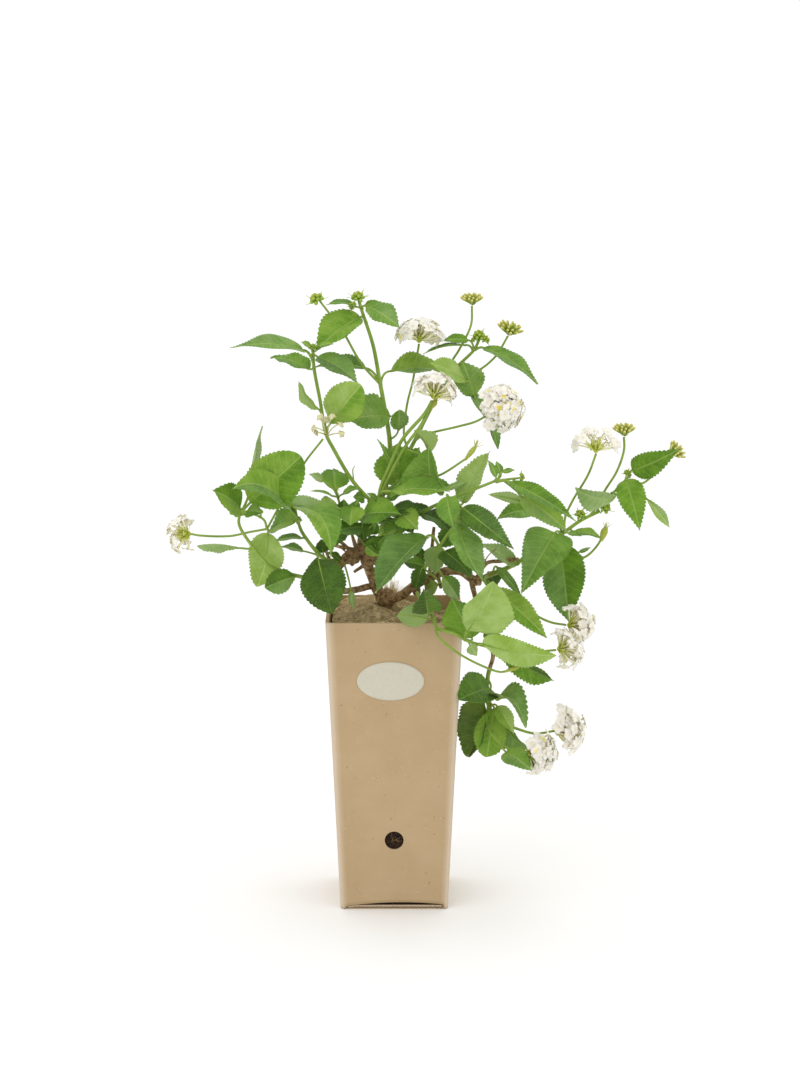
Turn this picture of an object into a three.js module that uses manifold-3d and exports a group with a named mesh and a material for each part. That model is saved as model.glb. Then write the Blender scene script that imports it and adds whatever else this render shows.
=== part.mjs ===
// A white lantana standing in a tall folded cardboard pot.
// Millimetres, +Z up. The origin is the middle of the pot's underside; the pot's front faces -Y.

import * as THREE from "three";
import { mergeVertices } from "three/addons/utils/BufferGeometryUtils.js";
import Module from "manifold-3d";

const wasm = await Module();
wasm.setup();

// ---- driving dimensions of the pot -------------------------------------------------------------

const POT_TOP = 100;            // outside width at the rim
const POT_FOOT = 79.6;          // outside width at the floor
const POT_HEIGHT = 220;
const WALL = 2.2;               // corrugated board
const CORNER = 3.2;             // radius of a score line
const HOLE_RADIUS = 7;
const HOLE_HEIGHT = 54;         // centre of the hole above the floor
const LABEL_WIDE = 49;
const LABEL_TALL = 29;
const LABEL_HEIGHT = 176.5;     // centre of the label above the floor
const LABEL_THICK = 0.5;
const FLAP = 3;                 // thickness of the folded bottom
const LIP_LEFT = -19;           // the bottom shows below the front panel between these two
const LIP_RIGHT = 35;
const GAP = 0.3;                // left between pieces that touch

const SOIL_TOP = 198;
const MAT_EDGE = 211;           // height of the fibre mat at the walls
const MAT_MOUND = 11;           // how much it rises round the stem
const MAT_DIP = 7;              // how much it sinks in the back right corner

// ---- driving dimensions of the plant -----------------------------------------------------------

const BLADE = 0.62;             // thickness of a leaf
const PETIOLE = 0.8;            // half the width of a leaf stalk
const STALK_THICK = 1.3;
const STRAIGHT = 0.4;           // cosine of the most that a stalk and its blade may be out of line
const BEND = 2.5;               // a stalk more out of line bends this far before the blade's foot,
const LAP = 1.2;                // and laps into the foot to this far before it
const BENT_STALK = [0.9, 0.55]; // radius of a bent stalk at its joint and in the blade's foot
const THIN_STEM = 1.2;          // leafy stems are square, flower stalks up to this radius three-sided
const TOOTH_OUT = 1.07;         // how far the teeth of a leaf stand out of its outline
const TOOTH_IN = 0.92;
const TEETH = [[34, 4], [24, 3], [12, 2], [0, 1]];   // teeth on each edge of a leaf so wide or wider
const FOLD = 14;                // degrees that each half of a leaf is raised
const ARCH = 0.07;              // rise of a leaf's midrib as a part of its length
const RECEPTACLE = 2.2;         // radius of the knob that carries a head
const LIMB = 4.3;               // radius of an open floret
const LOBES = [1, 0.6, 1, 0.6, 1, 0.6, 1, 0.6];     // its outline, as parts of that radius
const EYE = 1.1;                // depth of a floret's eye
const STALK_ROOM = 1.8;         // radius of the room for a head's stalk
const BUD_SEAT = 1.9;           // radius of the knob that carries a head of buds
const SOCKET = 0.35;            // clearance round a stem in the wood
const TRUNK = 5.8;              // radius of the old trunk where it stands in the soil

// ---- setting out -------------------------------------------------------------------------------
// The plant is set out on an upright sheet: a point is [column, row, depth], depth being its Y.
// The sheet is seen from a station in front of the pot, so columns and rows are lines of sight.

const STATION = new THREE.Vector3(4.3, -1938, 641);
const SHEET_MIDDLE = [400, 533.5];
const SHEET_DISTANCE = 2667;
const SHEET_TILT = THREE.MathUtils.degToRad(10.64);

const AHEAD = new THREE.Vector3(0, Math.cos(SHEET_TILT), -Math.sin(SHEET_TILT));
const ABOVE = new THREE.Vector3(0, Math.sin(SHEET_TILT), Math.cos(SHEET_TILT));

function place([column, row, depth]) {
  const sight = AHEAD.clone().multiplyScalar(SHEET_DISTANCE);
  sight.addScaledVector(ABOVE, SHEET_MIDDLE[1] - row);
  sight.x += column - SHEET_MIDDLE[0];
  const steps = (depth - STATION.y) / sight.y;
  return STATION.clone().addScaledVector(sight, steps);
}

// ---- closed meshes to solids and back ----------------------------------------------------------

function toSolid(geometry) {
  const bare = geometry.index ? geometry.toNonIndexed() : geometry.clone();
  bare.deleteAttribute("normal");
  bare.deleteAttribute("uv");
  const merged = mergeVertices(bare, 1e-4);
  const vertProperties = new Float32Array(merged.attributes.position.array);
  const triVerts = new Uint32Array(merged.index.array);
  return new wasm.Manifold(new wasm.Mesh({ numProp: 3, vertProperties, triVerts }));
}

function toGeometry(solid) {
  const mesh = solid.getMesh();
  const geometry = new THREE.BufferGeometry();
  geometry.setAttribute("position", new THREE.BufferAttribute(new Float32Array(mesh.vertProperties), 3));
  geometry.setIndex(new THREE.BufferAttribute(new Uint32Array(mesh.triVerts), 1));
  geometry.computeVertexNormals();
  return geometry;
}

function fuse(solids) {
  return solids.reduce((whole, next) => whole.add(next));
}

// The largest body of a solid: loose scraps left by a cut are dropped.
function mainBody(solid) {
  const bodies = solid.decompose();
  return bodies.reduce((best, body) => (body.volume() > best.volume() ? body : best));
}

function trianglesOfFaces(faces) {
  const geometry = new THREE.BufferGeometry();
  const flat = faces.flat().flatMap((point) => point.toArray());
  geometry.setAttribute("position", new THREE.Float32BufferAttribute(flat, 3));
  return toSolid(geometry);
}

function trianglesToSolid(points, triangles) {
  const geometry = new THREE.BufferGeometry();
  geometry.setAttribute("position", new THREE.Float32BufferAttribute(points.flatMap((p) => p.toArray()), 3));
  geometry.setIndex(triangles.flat());
  return toSolid(geometry);
}

function mesh(name, solid, colour, roughness) {
  const material = new THREE.MeshStandardMaterial({ color: colour, roughness, metalness: 0 });
  const piece = new THREE.Mesh(toGeometry(solid), material);
  piece.name = name;
  return piece;
}

// ---- shapes of the plant -----------------------------------------------------------------------

function ring(radius, sides) {
  const shape = new THREE.Shape();
  for (let i = 0; i < sides; i += 1) {
    const angle = (2 * Math.PI * i) / sides;
    const [x, y] = [radius * Math.cos(angle), radius * Math.sin(angle)];
    if (i === 0) shape.moveTo(x, y);
    else shape.lineTo(x, y);
  }
  shape.closePath();
  return shape;
}

// A round stem carried along a smooth path, thinning evenly from one radius to the other.
function stem(points, startRadius, endRadius, sides = 5) {
  const path = new THREE.CatmullRomCurve3(points, false, "centripetal");
  const steps = points.length - 1;
  const geometry = new THREE.ExtrudeGeometry(ring(1, sides), {
    steps, extrudePath: path, bevelEnabled: false,
  });
  const middles = path.getSpacedPoints(steps);
  const position = geometry.attributes.position;
  const point = new THREE.Vector3();
  for (let i = 0; i < position.count; i += 1) {
    point.fromBufferAttribute(position, i);
    const gaps = middles.map((middle) => middle.distanceTo(point));
    const nearest = gaps.indexOf(Math.min(...gaps));
    const radius = THREE.MathUtils.lerp(startRadius, endRadius, nearest / steps);
    point.sub(middles[nearest]).multiplyScalar(radius).add(middles[nearest]);
    position.setXYZ(i, point.x, point.y, point.z);
  }
  return toSolid(geometry);
}

// Faceted balls are turned askew, so that none of their corners falls on another piece's face.
function askew(geometry, centre) {
  geometry.rotateX(0.37).rotateY(0.53).translate(...centre.toArray());
  return toSolid(geometry);
}

function ball(centre, radius) {
  return askew(new THREE.IcosahedronGeometry(radius, 0), centre);
}

// An eight-sided ball whose corners stand out a fifth past the radius; room is left all round it.
function knob([centre, radius], room = 0) {
  return askew(new THREE.OctahedronGeometry(1.2 * radius + Math.sqrt(3) * room), place(centre));
}

// Half the width of a leaf along its length, as a part of its full half width.
function outline(along) {
  return Math.sin(Math.PI * along ** 0.7) ** 0.85;
}

// The three directions of a leaf: along its midrib, towards its right edge, and out of its upper
// face. At turn 0 the upper face looks at the station; the turn goes right-handed round the midrib.
function leafFrame(base, tip, turn) {
  const along = tip.clone().sub(base).normalize();
  const toStation = STATION.clone().sub(base).normalize();
  const side = along.clone().cross(toStation).normalize();
  const face = side.clone().cross(along);
  const angle = THREE.MathUtils.degToRad(turn);
  const turnedFace = face.clone().multiplyScalar(Math.cos(angle)).addScaledVector(side, -Math.sin(angle));
  const turnedSide = side.clone().multiplyScalar(Math.cos(angle)).addScaledVector(face, Math.sin(angle));
  return { along, side: turnedSide, face: turnedFace };
}

function midrib(base, tip, over, face) {
  const middle = over ?? base.clone().lerp(tip, 0.5).addScaledVector(face, ARCH * base.distanceTo(tip));
  const control = middle.clone().multiplyScalar(2).addScaledVector(base, -0.5).addScaledVector(tip, -0.5);
  return new THREE.QuadraticBezierCurve3(base, control, tip);
}

// A leaf's stalk runs straight on into the blade, or bends where the blade turns back.
function leaf([jointAt, baseAt, tipAt, wide, turn, overAt]) {
  const [joint, base, tip] = [jointAt, baseAt, tipAt].map(place);
  const { along, side, face } = leafFrame(base, tip, turn);
  const over = overAt && place(overAt);
  const straight = base.clone().sub(joint).normalize().dot(along) > STRAIGHT;
  if (straight) return [blade(joint, base, tip, wide, side, face, over)];
  const bend = base.clone().addScaledVector(along, -BEND);
  const reach = base.clone().addScaledVector(along, -LAP);
  return [blade(bend, base, tip, wide, side, face, over), stem([joint, bend, reach], ...BENT_STALK, 3)];
}

// An oval toothed blade, folded up a little along its midrib, with a straight stalk from the joint
// to its foot. Both faces are split alike.
function blade(joint, base, tip, wide, side, face, over) {
  const rib = midrib(base, tip, over, face);
  const teeth = TEETH.find(([width]) => wide >= width)[1];
  const rise = Math.sin(THREE.MathUtils.degToRad(FOLD));
  const points = [];
  const triangles = [];
  const add = (point, thick) => points.push(point.clone().addScaledVector(face, thick / 2),
    point.clone().addScaledVector(face, -thick / 2)) - 2;
  const edgeOfStalk = (point, hand) => point.clone().addScaledVector(side, hand * PETIOLE);
  const ribs = [add(base, STALK_THICK)];
  for (let i = 1; i <= teeth; i += 1) ribs.push(add(rib.getPoint(i / teeth), BLADE));
  const stalk = [];
  for (const hand of [1, -1]) {
    const rim = [add(edgeOfStalk(base, hand), STALK_THICK)];
    for (let i = 1; i < 2 * teeth; i += 1) {
      const at = i / (2 * teeth);
      const reach = 0.5 * wide * outline(at) * (i % 2 ? TOOTH_OUT : TOOTH_IN);
      const point = rib.getPoint(at).addScaledVector(side, hand * reach).addScaledVector(face, rise * reach);
      rim.push(add(point, BLADE));
    }
    rim.push(ribs[teeth]);
    halfBlade(triangles, ribs, rim, hand > 0);
    stalk.push(rim[0], add(edgeOfStalk(joint, hand), STALK_THICK));
  }
  leafStalk(triangles, ribs[0], ...stalk);
  return trianglesToSolid(points, triangles);
}

// Faces and rim of the half between the midrib and one edge. A point's lower twin is its index + 1.
function halfBlade(triangles, ribs, rim, righthand) {
  const put = (a, b, c) => triangles.push(righthand ? [a, b, c] : [a, c, b]);
  const both = (a, b, c) => {
    put(a, b, c);
    put(a + 1, c + 1, b + 1);
  };
  for (let i = 0; i + 1 < ribs.length; i += 1) {
    const [near, tooth, far] = [rim[2 * i], rim[2 * i + 1], rim[2 * i + 2]];
    both(ribs[i], near, tooth);
    both(ribs[i], tooth, ribs[i + 1]);
    if (far !== ribs[i + 1]) both(ribs[i + 1], tooth, far);
  }
  for (let i = 0; i + 1 < rim.length; i += 1) {
    put(rim[i], rim[i] + 1, rim[i + 1]);
    put(rim[i] + 1, rim[i + 1] + 1, rim[i + 1]);
  }
}

// The square stalk between the joint's two edges and the blade's foot.
function leafStalk(triangles, rib, right, jointRight, left, jointLeft) {
  const strip = (a, b, c, d) => triangles.push([a, b, c], [a, c, d]);
  triangles.push([rib, left, jointLeft], [rib, jointLeft, jointRight], [rib, jointRight, right]);
  triangles.push([rib + 1, jointLeft + 1, left + 1], [rib + 1, jointRight + 1, jointLeft + 1],
    [rib + 1, right + 1, jointRight + 1]);
  strip(right, jointRight, jointRight + 1, right + 1);
  strip(left, left + 1, jointLeft + 1, jointLeft);
  strip(jointRight, jointLeft, jointLeft + 1, jointRight + 1);
}

// A head is a faceted ball whose faces each carry a floret, save those round the receptacle.
// grow(corners, direction) gives what stands on a face, as lists of corners. lowest is the cosine
// from the head's axis of the lowest faces that carry one.
function headOnBall(centre, axis, core, lowest, grow) {
  const ballFaces = new THREE.IcosahedronGeometry(1, 0);
  const toAxis = new THREE.Quaternion().setFromUnitVectors(FACE_UP, axis);
  const position = ballFaces.attributes.position;
  const faces = [];
  for (let i = 0; i < position.count; i += 3) {
    const corners = [0, 1, 2].map((k) => (
      new THREE.Vector3().fromBufferAttribute(position, i + k).applyQuaternion(toAxis)));
    const direction = corners[0].clone().add(corners[1]).add(corners[2]).normalize();
    const seats = corners.map((corner) => spot(centre, axis, corner, core, core));
    if (direction.dot(axis) < lowest) faces.push(seats);
    else faces.push(...grow(seats, direction));
  }
  return trianglesOfFaces(faces);
}

// Faces between a three-cornered foot and a rim of points that go round the same way.
function skirt(foot, rim) {
  const faces = [];
  const share = rim.length / 3;
  let corner = 0;
  rim.forEach((point, i) => {
    const next = rim[(i + 1) % rim.length];
    faces.push([foot[corner % 3], next, point]);
    if (i + 1 >= share * (corner + 1) - 0.5) {
      faces.push([foot[corner % 3], foot[(corner + 1) % 3], next]);
      corner += 1;
    }
  });
  return faces;
}

// Points round a mouth; the first one lies over the foot's first corner.
function mouthRim(foot, mouth, out, radii) {
  const first = foot[0].clone().sub(mouth);
  first.addScaledVector(out, -first.dot(out)).normalize();
  const turn = (2 * Math.PI) / radii.length;
  return radii.map((radius, i) => (
    mouth.clone().addScaledVector(first.clone().applyAxisAngle(out, turn * i), radius)));
}

// A floret widens from its foot to a four-lobed limb with a sunk eye.
function floret(foot, mouth, limb) {
  const out = mouth.clone().sub(foot[0]).add(mouth).sub(foot[1]).add(mouth).sub(foot[2]).normalize();
  const rim = mouthRim(foot, mouth, out, LOBES.map((part) => part * limb));
  const eye = mouth.clone().addScaledVector(out, -EYE);
  return [...skirt(foot, rim), ...rim.map((point, i) => [point, rim[(i + 1) % rim.length], eye])];
}

// A closed bud is a blunt knob.
function closedBud(foot, top, radius) {
  const out = top.clone().sub(foot[0]).add(top).sub(foot[1]).add(top).sub(foot[2]).normalize();
  const rim = mouthRim(foot, top.clone().addScaledVector(out, -0.8), out, [radius, radius, radius]);
  return [...skirt(foot, rim), ...rim.map((point, i) => [point, rim[(i + 1) % 3], top])];
}

function spot(centre, axis, direction, wide, tall) {
  const up = direction.dot(axis);
  const flat = direction.clone().addScaledVector(axis, -up);
  return centre.clone().addScaledVector(flat, wide).addScaledVector(axis, up * tall);
}

// ---- the leafy shoots --------------------------------------------------------------------------
// stems: [points, radius at the root, radius at the tip]
// leaves: [joint on the stem, base of the blade, tip, width, turn, point that it arches over]
// knobs: [centre, radius] of closed buds, receptacles and spent heads

const SHOOTS = [
  {
    name: "shoot_left_tall",
    stems: [
      [[[375, 504, -3], [368, 498, -6], [352, 480, -9], [333, 448, -13], [326, 434, -14], [320, 400, -15],
        [314, 368, -12], [313, 350, -10]], 2.2, 1.2],
    ],
    leaves: [
      [[314, 367, -12], [303, 350, -16], [230, 348, -50], 30, 65],
      [[314, 367, -12], [306, 364, -6], [272, 356, 16], 20, 62],
      [[313, 353, -10], [317, 356, -12], [358, 383, -32], 24, -56],
      [[313, 351, -10], [311, 348, -12], [301, 342, -18], 6, 50],
      [[313, 351, -10], [319, 346, -14], [334, 344, -18], 6, -50],
      [[326, 432, -14], [321, 424, -19], [297, 386, -28], 24, 105],
      [[326, 432, -14], [330, 426, -17], [362, 385, -36], 30, -28],
    ],
    knobs: [[[313, 348, -10], 1.8]],
  },
  {
    name: "shoot_main",
    stems: [
      [[[379, 503, 3], [386, 485, 12], [390, 447, 16], [384, 405, 12], [379.5, 380, 10], [373, 345, 10],
        [361, 308, 10], [358, 297, 10]], 2.1, 1],
      [[[379, 383, 10], [361, 363, 7], [343, 332, 3], [319.5, 300.5, 0]], 0.95, 0.95],
      [[[318, 299, 0], [308, 303, -1]], 1.2, 0.6],
      [[[318, 299, 0], [329, 290, 1]], 1.2, 0.6],
      [[[358, 296, 10], [364, 288, 10]], 1.2, 0.6],
    ],
    leaves: [
      [[366, 322, 10], [360, 318, 7], [318, 352, -12], 28, 24],
      [[361, 308, 10], [357, 307, 9], [327, 305, 0], 14, 72, [343, 299, 4]],
      [[361, 308, 10], [367, 307, 8], [397, 325, -8], 18, -35],
      [[379, 381, 10], [366, 369, 13], [318, 365, 34], 24, 68],
      [[381, 385, 10], [392, 371, 10], [447, 372, 12], 26, -50],
      [[386, 416, 13], [384, 417, 9], [347, 421, 0], 26, 30],
      [[389, 440, 16], [397, 430, 10], [400, 411, -4], 15, 20],
    ],
    knobs: [
      [[318, 299, 0], 3.4], [[358, 295, 10], 2.4], [[357, 302, 9], 1.8],
    ],
  },
  {
    name: "shoot_centre",
    stems: [
      [[[378, 504, -10], [381, 487, -12], [388, 470, -15], [402, 440, -22], [425, 413, -30], [432, 401, -33]],
        1.5, 1.3],
      [[[379, 498, -10], [391, 473, -18], [405, 447, -24], [421, 425, -27], [431, 406, -28]], 1.3, 1.1],
      [[[381, 492, -11], [400, 486, -13], [420, 480, -17], [440, 475, -24], [467, 458, -30]], 1.1, 0.9],
      [[[465, 460, -30], [477, 445, -30]], 1.7, 1],
    ],
    leaves: [
      [[381, 494, -11], [398, 486, -6], [398, 443, 6], 36, 0],
      [[384, 491, -12], [407, 487, -26], [430, 450, -40], 30, -14],
      [[384, 489, -12], [397, 479, -9], [377, 439, -10], 11, 50],
      [[382, 494, -12], [394, 491, -32], [445, 493, -58], 26, -66],
      [[404, 448, -23], [429, 452, -12], [412, 434, -6], 16, 160],
      [[404, 486, -13], [426, 484, -10], [453, 489, -14], 12, -40],
    ],
    knobs: [
      [[433, 398, -34], 2.2], [[431, 405, -28], 1.9],
    ],
  },
  {
    name: "shoot_upper_right",
    stems: [
      [[[387, 502, 7], [400, 470, 16], [415, 440, 22], [430, 410, 27], [452, 372, 30], [463, 361, 30],
        [474, 350, 30], [480, 338, 30]], 1.9, 1.1],
      [[[409, 452, 20], [404, 436, 21], [407, 405, 25], [413, 380, 23], [419, 344, 20]], 1, 0.95],
      [[[414, 442, 22], [423, 435, 8], [434, 432, -4], [460, 426, -14], [477, 421, -18],
        [492, 410.5, -17]], 1, 0.95],
      [[[453, 370, 30], [452, 362, 30], [459, 350, 33], [471, 325, 29], [472, 306, 25]], 1, 0.9],
      [[[453, 370, 30], [466, 373, 33], [477, 371, 33], [495, 357, 32], [508, 336, 30]], 1, 0.9],
    ],
    leaves: [
      [[459, 365, 30], [475, 396, 12], [431, 362, -8], 22, 50, [458, 376, 3]],
      [[460, 364, 30], [473, 391, 26], [462, 361, 18], 22, 30],
      [[453, 371, 30], [457, 385, 32], [497, 449, 12], 24, -68, [481, 410, 24]],
      [[474, 350, 30], [468, 341, 30], [442, 340, 22], 14, 50],
      [[473, 350, 30], [466, 345, 27], [423, 354, 8], 18, 76],
      [[475, 350, 30], [484, 348, 28], [538, 384, 4], 26, -60],
    ],
    knobs: [
      [[419, 342, 20], 2.2], [[493, 410, -17], 2.2], [[472, 305, 25], 1.9], [[508, 335, 30], 1.9],
      [[480.4, 336.3, 30.2], 2.2], [[483.4, 338, 29.8], 2], [[486.6, 340.2, 29.2], 1.9],
    ],
  },
  {
    name: "shoot_right_centre",
    stems: [
      [[[384, 511, -8], [400, 517, -14], [415, 516, -18], [430, 508, -22], [450, 499, -26], [470, 491, -30],
        [485, 485, -32], [495, 481, -34]], 2.1, 1.3],
      [[[495, 481, -34], [510, 479, -35], [520, 478, -36]], 1.1, 1],
    ],
    leaves: [
      [[495, 481, -34], [495, 476, -34], [488, 460, -32], 5.5, 30],
      [[496, 480, -34], [501, 474, -33], [496, 461, -30], 5.5, 10],
      [[498, 480, -34], [503, 473, -36], [515, 469, -38], 5, -30],
      [[455, 497, -27], [460, 504, -18], [490, 451, -4], 26, -42],
      [[497, 481, -34], [508, 481, -40], [576, 521, -74], 36, -56],
      [[514, 479, -35], [530, 490, -38], [566, 531, -50], 20, -30],
      [[503, 480, -34], [524, 507, -36], [488, 496, -44], 16, 150],
      [[415, 516, -18], [419, 517, -18], [452, 528, -26], 18, -55],
      [[450, 499, -26], [462, 511, -28], [490, 540, -36], 22, -42],
      [[402, 517, -14], [407, 513, -10], [432, 509, -4], 14, -50],
      [[405, 517, -15], [405, 519, -22], [413, 536, -40], 15, 0],
    ],
    knobs: [[[521.3, 477.2, -36.3], 2.3], [[523.5, 474, -36.6], 1.8], [[524.8, 479, -36.8], 1.7]],
  },
  {
    name: "shoot_inner_left",
    stems: [
      [[[357, 533, -4], [350, 523, -7], [342, 510, -8], [336, 491, -10]], 1.5, 1],
      [[[350, 523, -7], [357, 520, -10], [364, 518, -12]], 1.1, 0.9],
    ],
    leaves: [
      [[336, 492, -10], [335, 489, -9], [333, 468, 14], 22, 12],
      [[337, 494, -10], [323, 481, -16], [309, 474, -20], 7, 40],
      [[338, 497, -10], [333, 496, -14], [308, 491, -28], 12, 84],
      [[338, 497, -10], [343, 494, -10], [359, 488, -14], 9, -60],
      [[340, 504, -9], [337, 504, -14], [317, 506, -32], 16, 42],
      [[342, 509, -8], [324, 508, -3], [272, 498, 12], 24, 52],
      [[364, 518, -12], [366, 518, -15], [400, 511, -34], 20, -46],
      [[349, 522, -7], [344, 529, -12], [335, 546, -16], 14, 35],
    ],
    knobs: [[[336, 490, -10], 1.5]],
  },
  {
    name: "shoot_left_outer",
    stems: [
      [[[307, 578, -25], [290, 574, -32], [270, 566, -36], [250, 543, -41], [239, 524, -44], [240, 512, -44]],
        1.9, 1.3],
      [[[240, 515, -44], [252, 514, -42], [264, 520, -39], [267, 530, -36]], 1, 1],
      [[[267, 529, -36], [250, 532, -38], [230, 536, -39], [200, 535.5, -42], [191, 534, -43]], 0.95, 0.95],
      [[[267, 529, -36], [278, 505, -22], [292, 480, -16], [305, 460, -21], [318, 445, -27], [323, 439, -27]],
        0.95, 0.9],
    ],
    leaves: [
      [[241, 513, -44], [248, 502, -47], [300, 455, -56], 36, -34],
      [[241, 512, -44], [246, 500, -40], [262, 426, -26], 28, 78],
      [[240, 513, -44], [238, 509, -46], [213, 491, -64], 24, 45],
      [[243, 514, -44], [247, 511, -47], [262, 513, -56], 12, -30],
      [[256, 550, -40], [238, 549, -40], [198, 549, -50], 18, 70],
      [[267, 529, -36], [270, 535, -30], [255, 585, -20], 28, 18],
      [[303, 577, -27], [297, 575, -32], [265, 585, -52], 22, 35],
      [[240, 515, -44], [235, 514, -42], [229, 511, -39], 4, 20],
      [[260, 517, -40], [261, 514, -40], [259, 508, -42], 4, 0],
    ],
    knobs: [[[190, 534, -43], 2.2], [[239, 512, -44], 1.6]],
  },
  {
    name: "shoot_left_inner",
    stems: [
      [[[345, 562, -4], [335, 561, -10], [325, 559, -16], [317, 552, -22], [308, 541, -27], [301, 530, -31],
        [298, 521, -33]], 1.9, 1.2],
    ],
    leaves: [
      [[298, 522, -33], [297, 508, -38], [331, 557, -68], 32, -46, [322, 519, -56]],
      [[298, 523, -33], [294, 523, -31], [270, 535, -14], 18, 38],
      [[298, 521, -33], [293, 515, -45], [233, 490, -86], 26, 56, [264, 493, -68]],
      [[308, 541, -27], [303, 538, -31], [273, 541, -48], 14, 60],
      [[322, 557, -18], [303, 551, -20], [281, 546, -22], 12, 58],
      [[317, 553, -22], [318, 558, -30], [334, 613, -66], 36, 6],
      [[326, 559, -15], [325, 553, -12], [320, 539, -8], 12, 10],
    ],
    knobs: [[[298, 520, -33], 1.7]],
  },
  {
    name: "shoot_front_centre",
    stems: [
      [[[418, 579, -14], [424, 569, -23], [431, 558, -29], [439, 547, -34], [450, 531, -41], [459, 519, -46]],
        1.9, 1.4],
    ],
    leaves: [
      [[459, 519, -46], [463, 510, -47], [515, 549, -84], 34, -58, [484, 514, -66]],
      [[459, 519, -46], [451, 503, -56], [453, 528, -74], 16, 15],
      [[459, 519, -46], [460, 524, -52], [486, 582, -84], 32, -48],
      [[439, 547, -34], [434, 542, -42], [375, 593, -72], 38, 42, [411, 543, -62]],
      [[440, 546, -35], [444, 551, -40], [472, 579, -58], 26, -42],
      [[423, 570, -22], [420, 571, -24], [409, 588, -22], 13, 20],
      [[426, 566, -25], [424, 564, -22], [407, 556, -12], 13, 50],
      [[433, 556, -30], [440, 578, -22], [461, 604, -12], 15, -20],
      [[424, 569, -23], [441, 581, -16], [424, 598, 0], 15, 20],
    ],
    knobs: [[[459, 517, -46], 1.8]],
  },
  {
    name: "shoot_right",
    stems: [
      [[[474, 582, -2], [487, 576, 1], [505, 569, 4], [520, 561, 8], [540, 549, 12], [558, 537, 14],
        [580, 521, 17], [600, 511, 18]], 2.4, 1.4],
      [[[564, 533, 15], [565, 518, 12], [573, 500, 6], [588, 475, -3], [596, 454, -12]], 1, 0.95],
      [[[597, 512, 18], [603, 494, 14], [617, 471, 10], [624, 450, 8], [624, 437, 8]], 1, 0.9],
      [[[590, 516, 18], [600, 503, 23], [615, 491, 26], [630, 475, 27]], 1.2, 1.1],
      [[[615, 491, 26], [628, 488, 30], [645, 482, 34], [660, 468, 37], [671, 456, 38]], 0.95, 0.9],
      [[[545, 546, 13], [565, 560, 20], [585, 557, 20], [599, 543, 18], [604, 530, 17]], 0.95, 0.9],
      [[[484, 577, 1], [497, 590, -6], [530, 612, -14], [550, 622, -20], [566, 625, -26]], 1, 0.95],
    ],
    leaves: [
      [[561, 534, 14], [556, 536, 6], [520, 595, -34], 38, 30],
      [[557, 538, 14], [563, 549, 14], [572, 623, 2], 38, -30],
      [[520, 561, 8], [513, 557, 5], [487, 545, -8], 20, 64],
      [[493, 573, 2], [498, 570, -3], [523, 602, -22], 20, -64],
      [[487, 577, 0], [490, 572, 4], [500, 588, 10], 12, -15],
      [[562, 533, 15], [548, 520, 8], [498, 521, -18], 24, 54],
      [[612, 493, 25], [617, 497, 14], [578, 493, -8], 24, 26],
      [[630, 475, 27], [633, 470, 24], [680, 448, 6], 28, -36],
      [[629, 477, 27], [626, 480, 18], [640, 531, -4], 24, 12],
      [[640, 484, 33], [646, 499, 32], [670, 527, 20], 20, -62],
      [[570, 528, 16], [574, 531, 12], [600, 537, -2], 14, -58],
      [[565, 531, 15], [568, 533, 6], [582, 539, 2], 7, -40],
      [[488, 576, 1], [491, 587, -20], [547, 638, -52], 34, -58],
    ],
    knobs: [
      [[596, 452, -12], 2.2], [[624, 436, 8], 1.9], [[671, 455, 38], 1.9], [[603, 509, 18], 3.2],
      [[607, 505.5, 18], 2.2], [[580, 517, 17], 2.2], [[604, 530, 17], 2], [[606.6, 527.6, 17], 1.7],
      [[601.5, 527.4, 17], 1.7], [[568, 625, -27], 2.2],
    ],
  },
  {
    name: "shoot_front_low",
    stems: [
      [[[417, 592, -14], [423, 603, -34], [430, 612, -48], [434, 620, -57], [437, 628, -62], [453, 633, -66],
        [468, 641, -70], [492, 648, -74]], 1.9, 1.3],
      [[[435, 623, -59], [438, 636, -67], [455, 651, -70], [478, 664, -74], [500, 672, -77], [507, 671, -78]],
        0.9, 0.85],
      [[[491, 648, -74], [512, 652, -64], [530, 652, -56], [545, 651, -52], [556, 650, -50]], 0.95, 0.9],
      [[[505, 671.5, -78], [523, 665, -78]], 1.6, 1],
    ],
    leaves: [
      [[431, 614, -51], [431, 611, -60], [424, 590, -92], 32, 0],
      [[433, 618, -54], [426, 620, -58], [398, 622, -68], 20, 150],
      [[462, 637, -67], [461, 632, -61], [451, 600, -50], 22, 20],
      [[465, 640, -69], [466, 631, -73], [493, 582, -94], 34, -20],
      [[479, 644, -72], [485, 643, -78], [555, 655, -104], 32, -54],
      [[490, 648, -74], [497, 653, -74], [554, 681, -84], 26, -48],
      [[486, 646, -73], [488, 641, -70], [491, 633, -64], 7, 0],
      [[468, 641, -70], [470, 645, -72], [476, 656, -76], 7, 10],
    ],
    knobs: [[[558, 649, -50], 2]],
  },
  {
    name: "shoot_hanging",
    stems: [
      [[[490, 668, -14], [488, 676, -14], [487, 700, -16], [492, 712, -18], [500, 721, -20], [515, 728, -22],
        [535, 733.5, -24], [554, 731, -26]], 1.7, 0.95],
      [[[488, 703, -16], [488, 727, -28], [500, 743, -40], [517, 752, -48], [525, 751, -50]], 1, 0.95],
    ],
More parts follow.
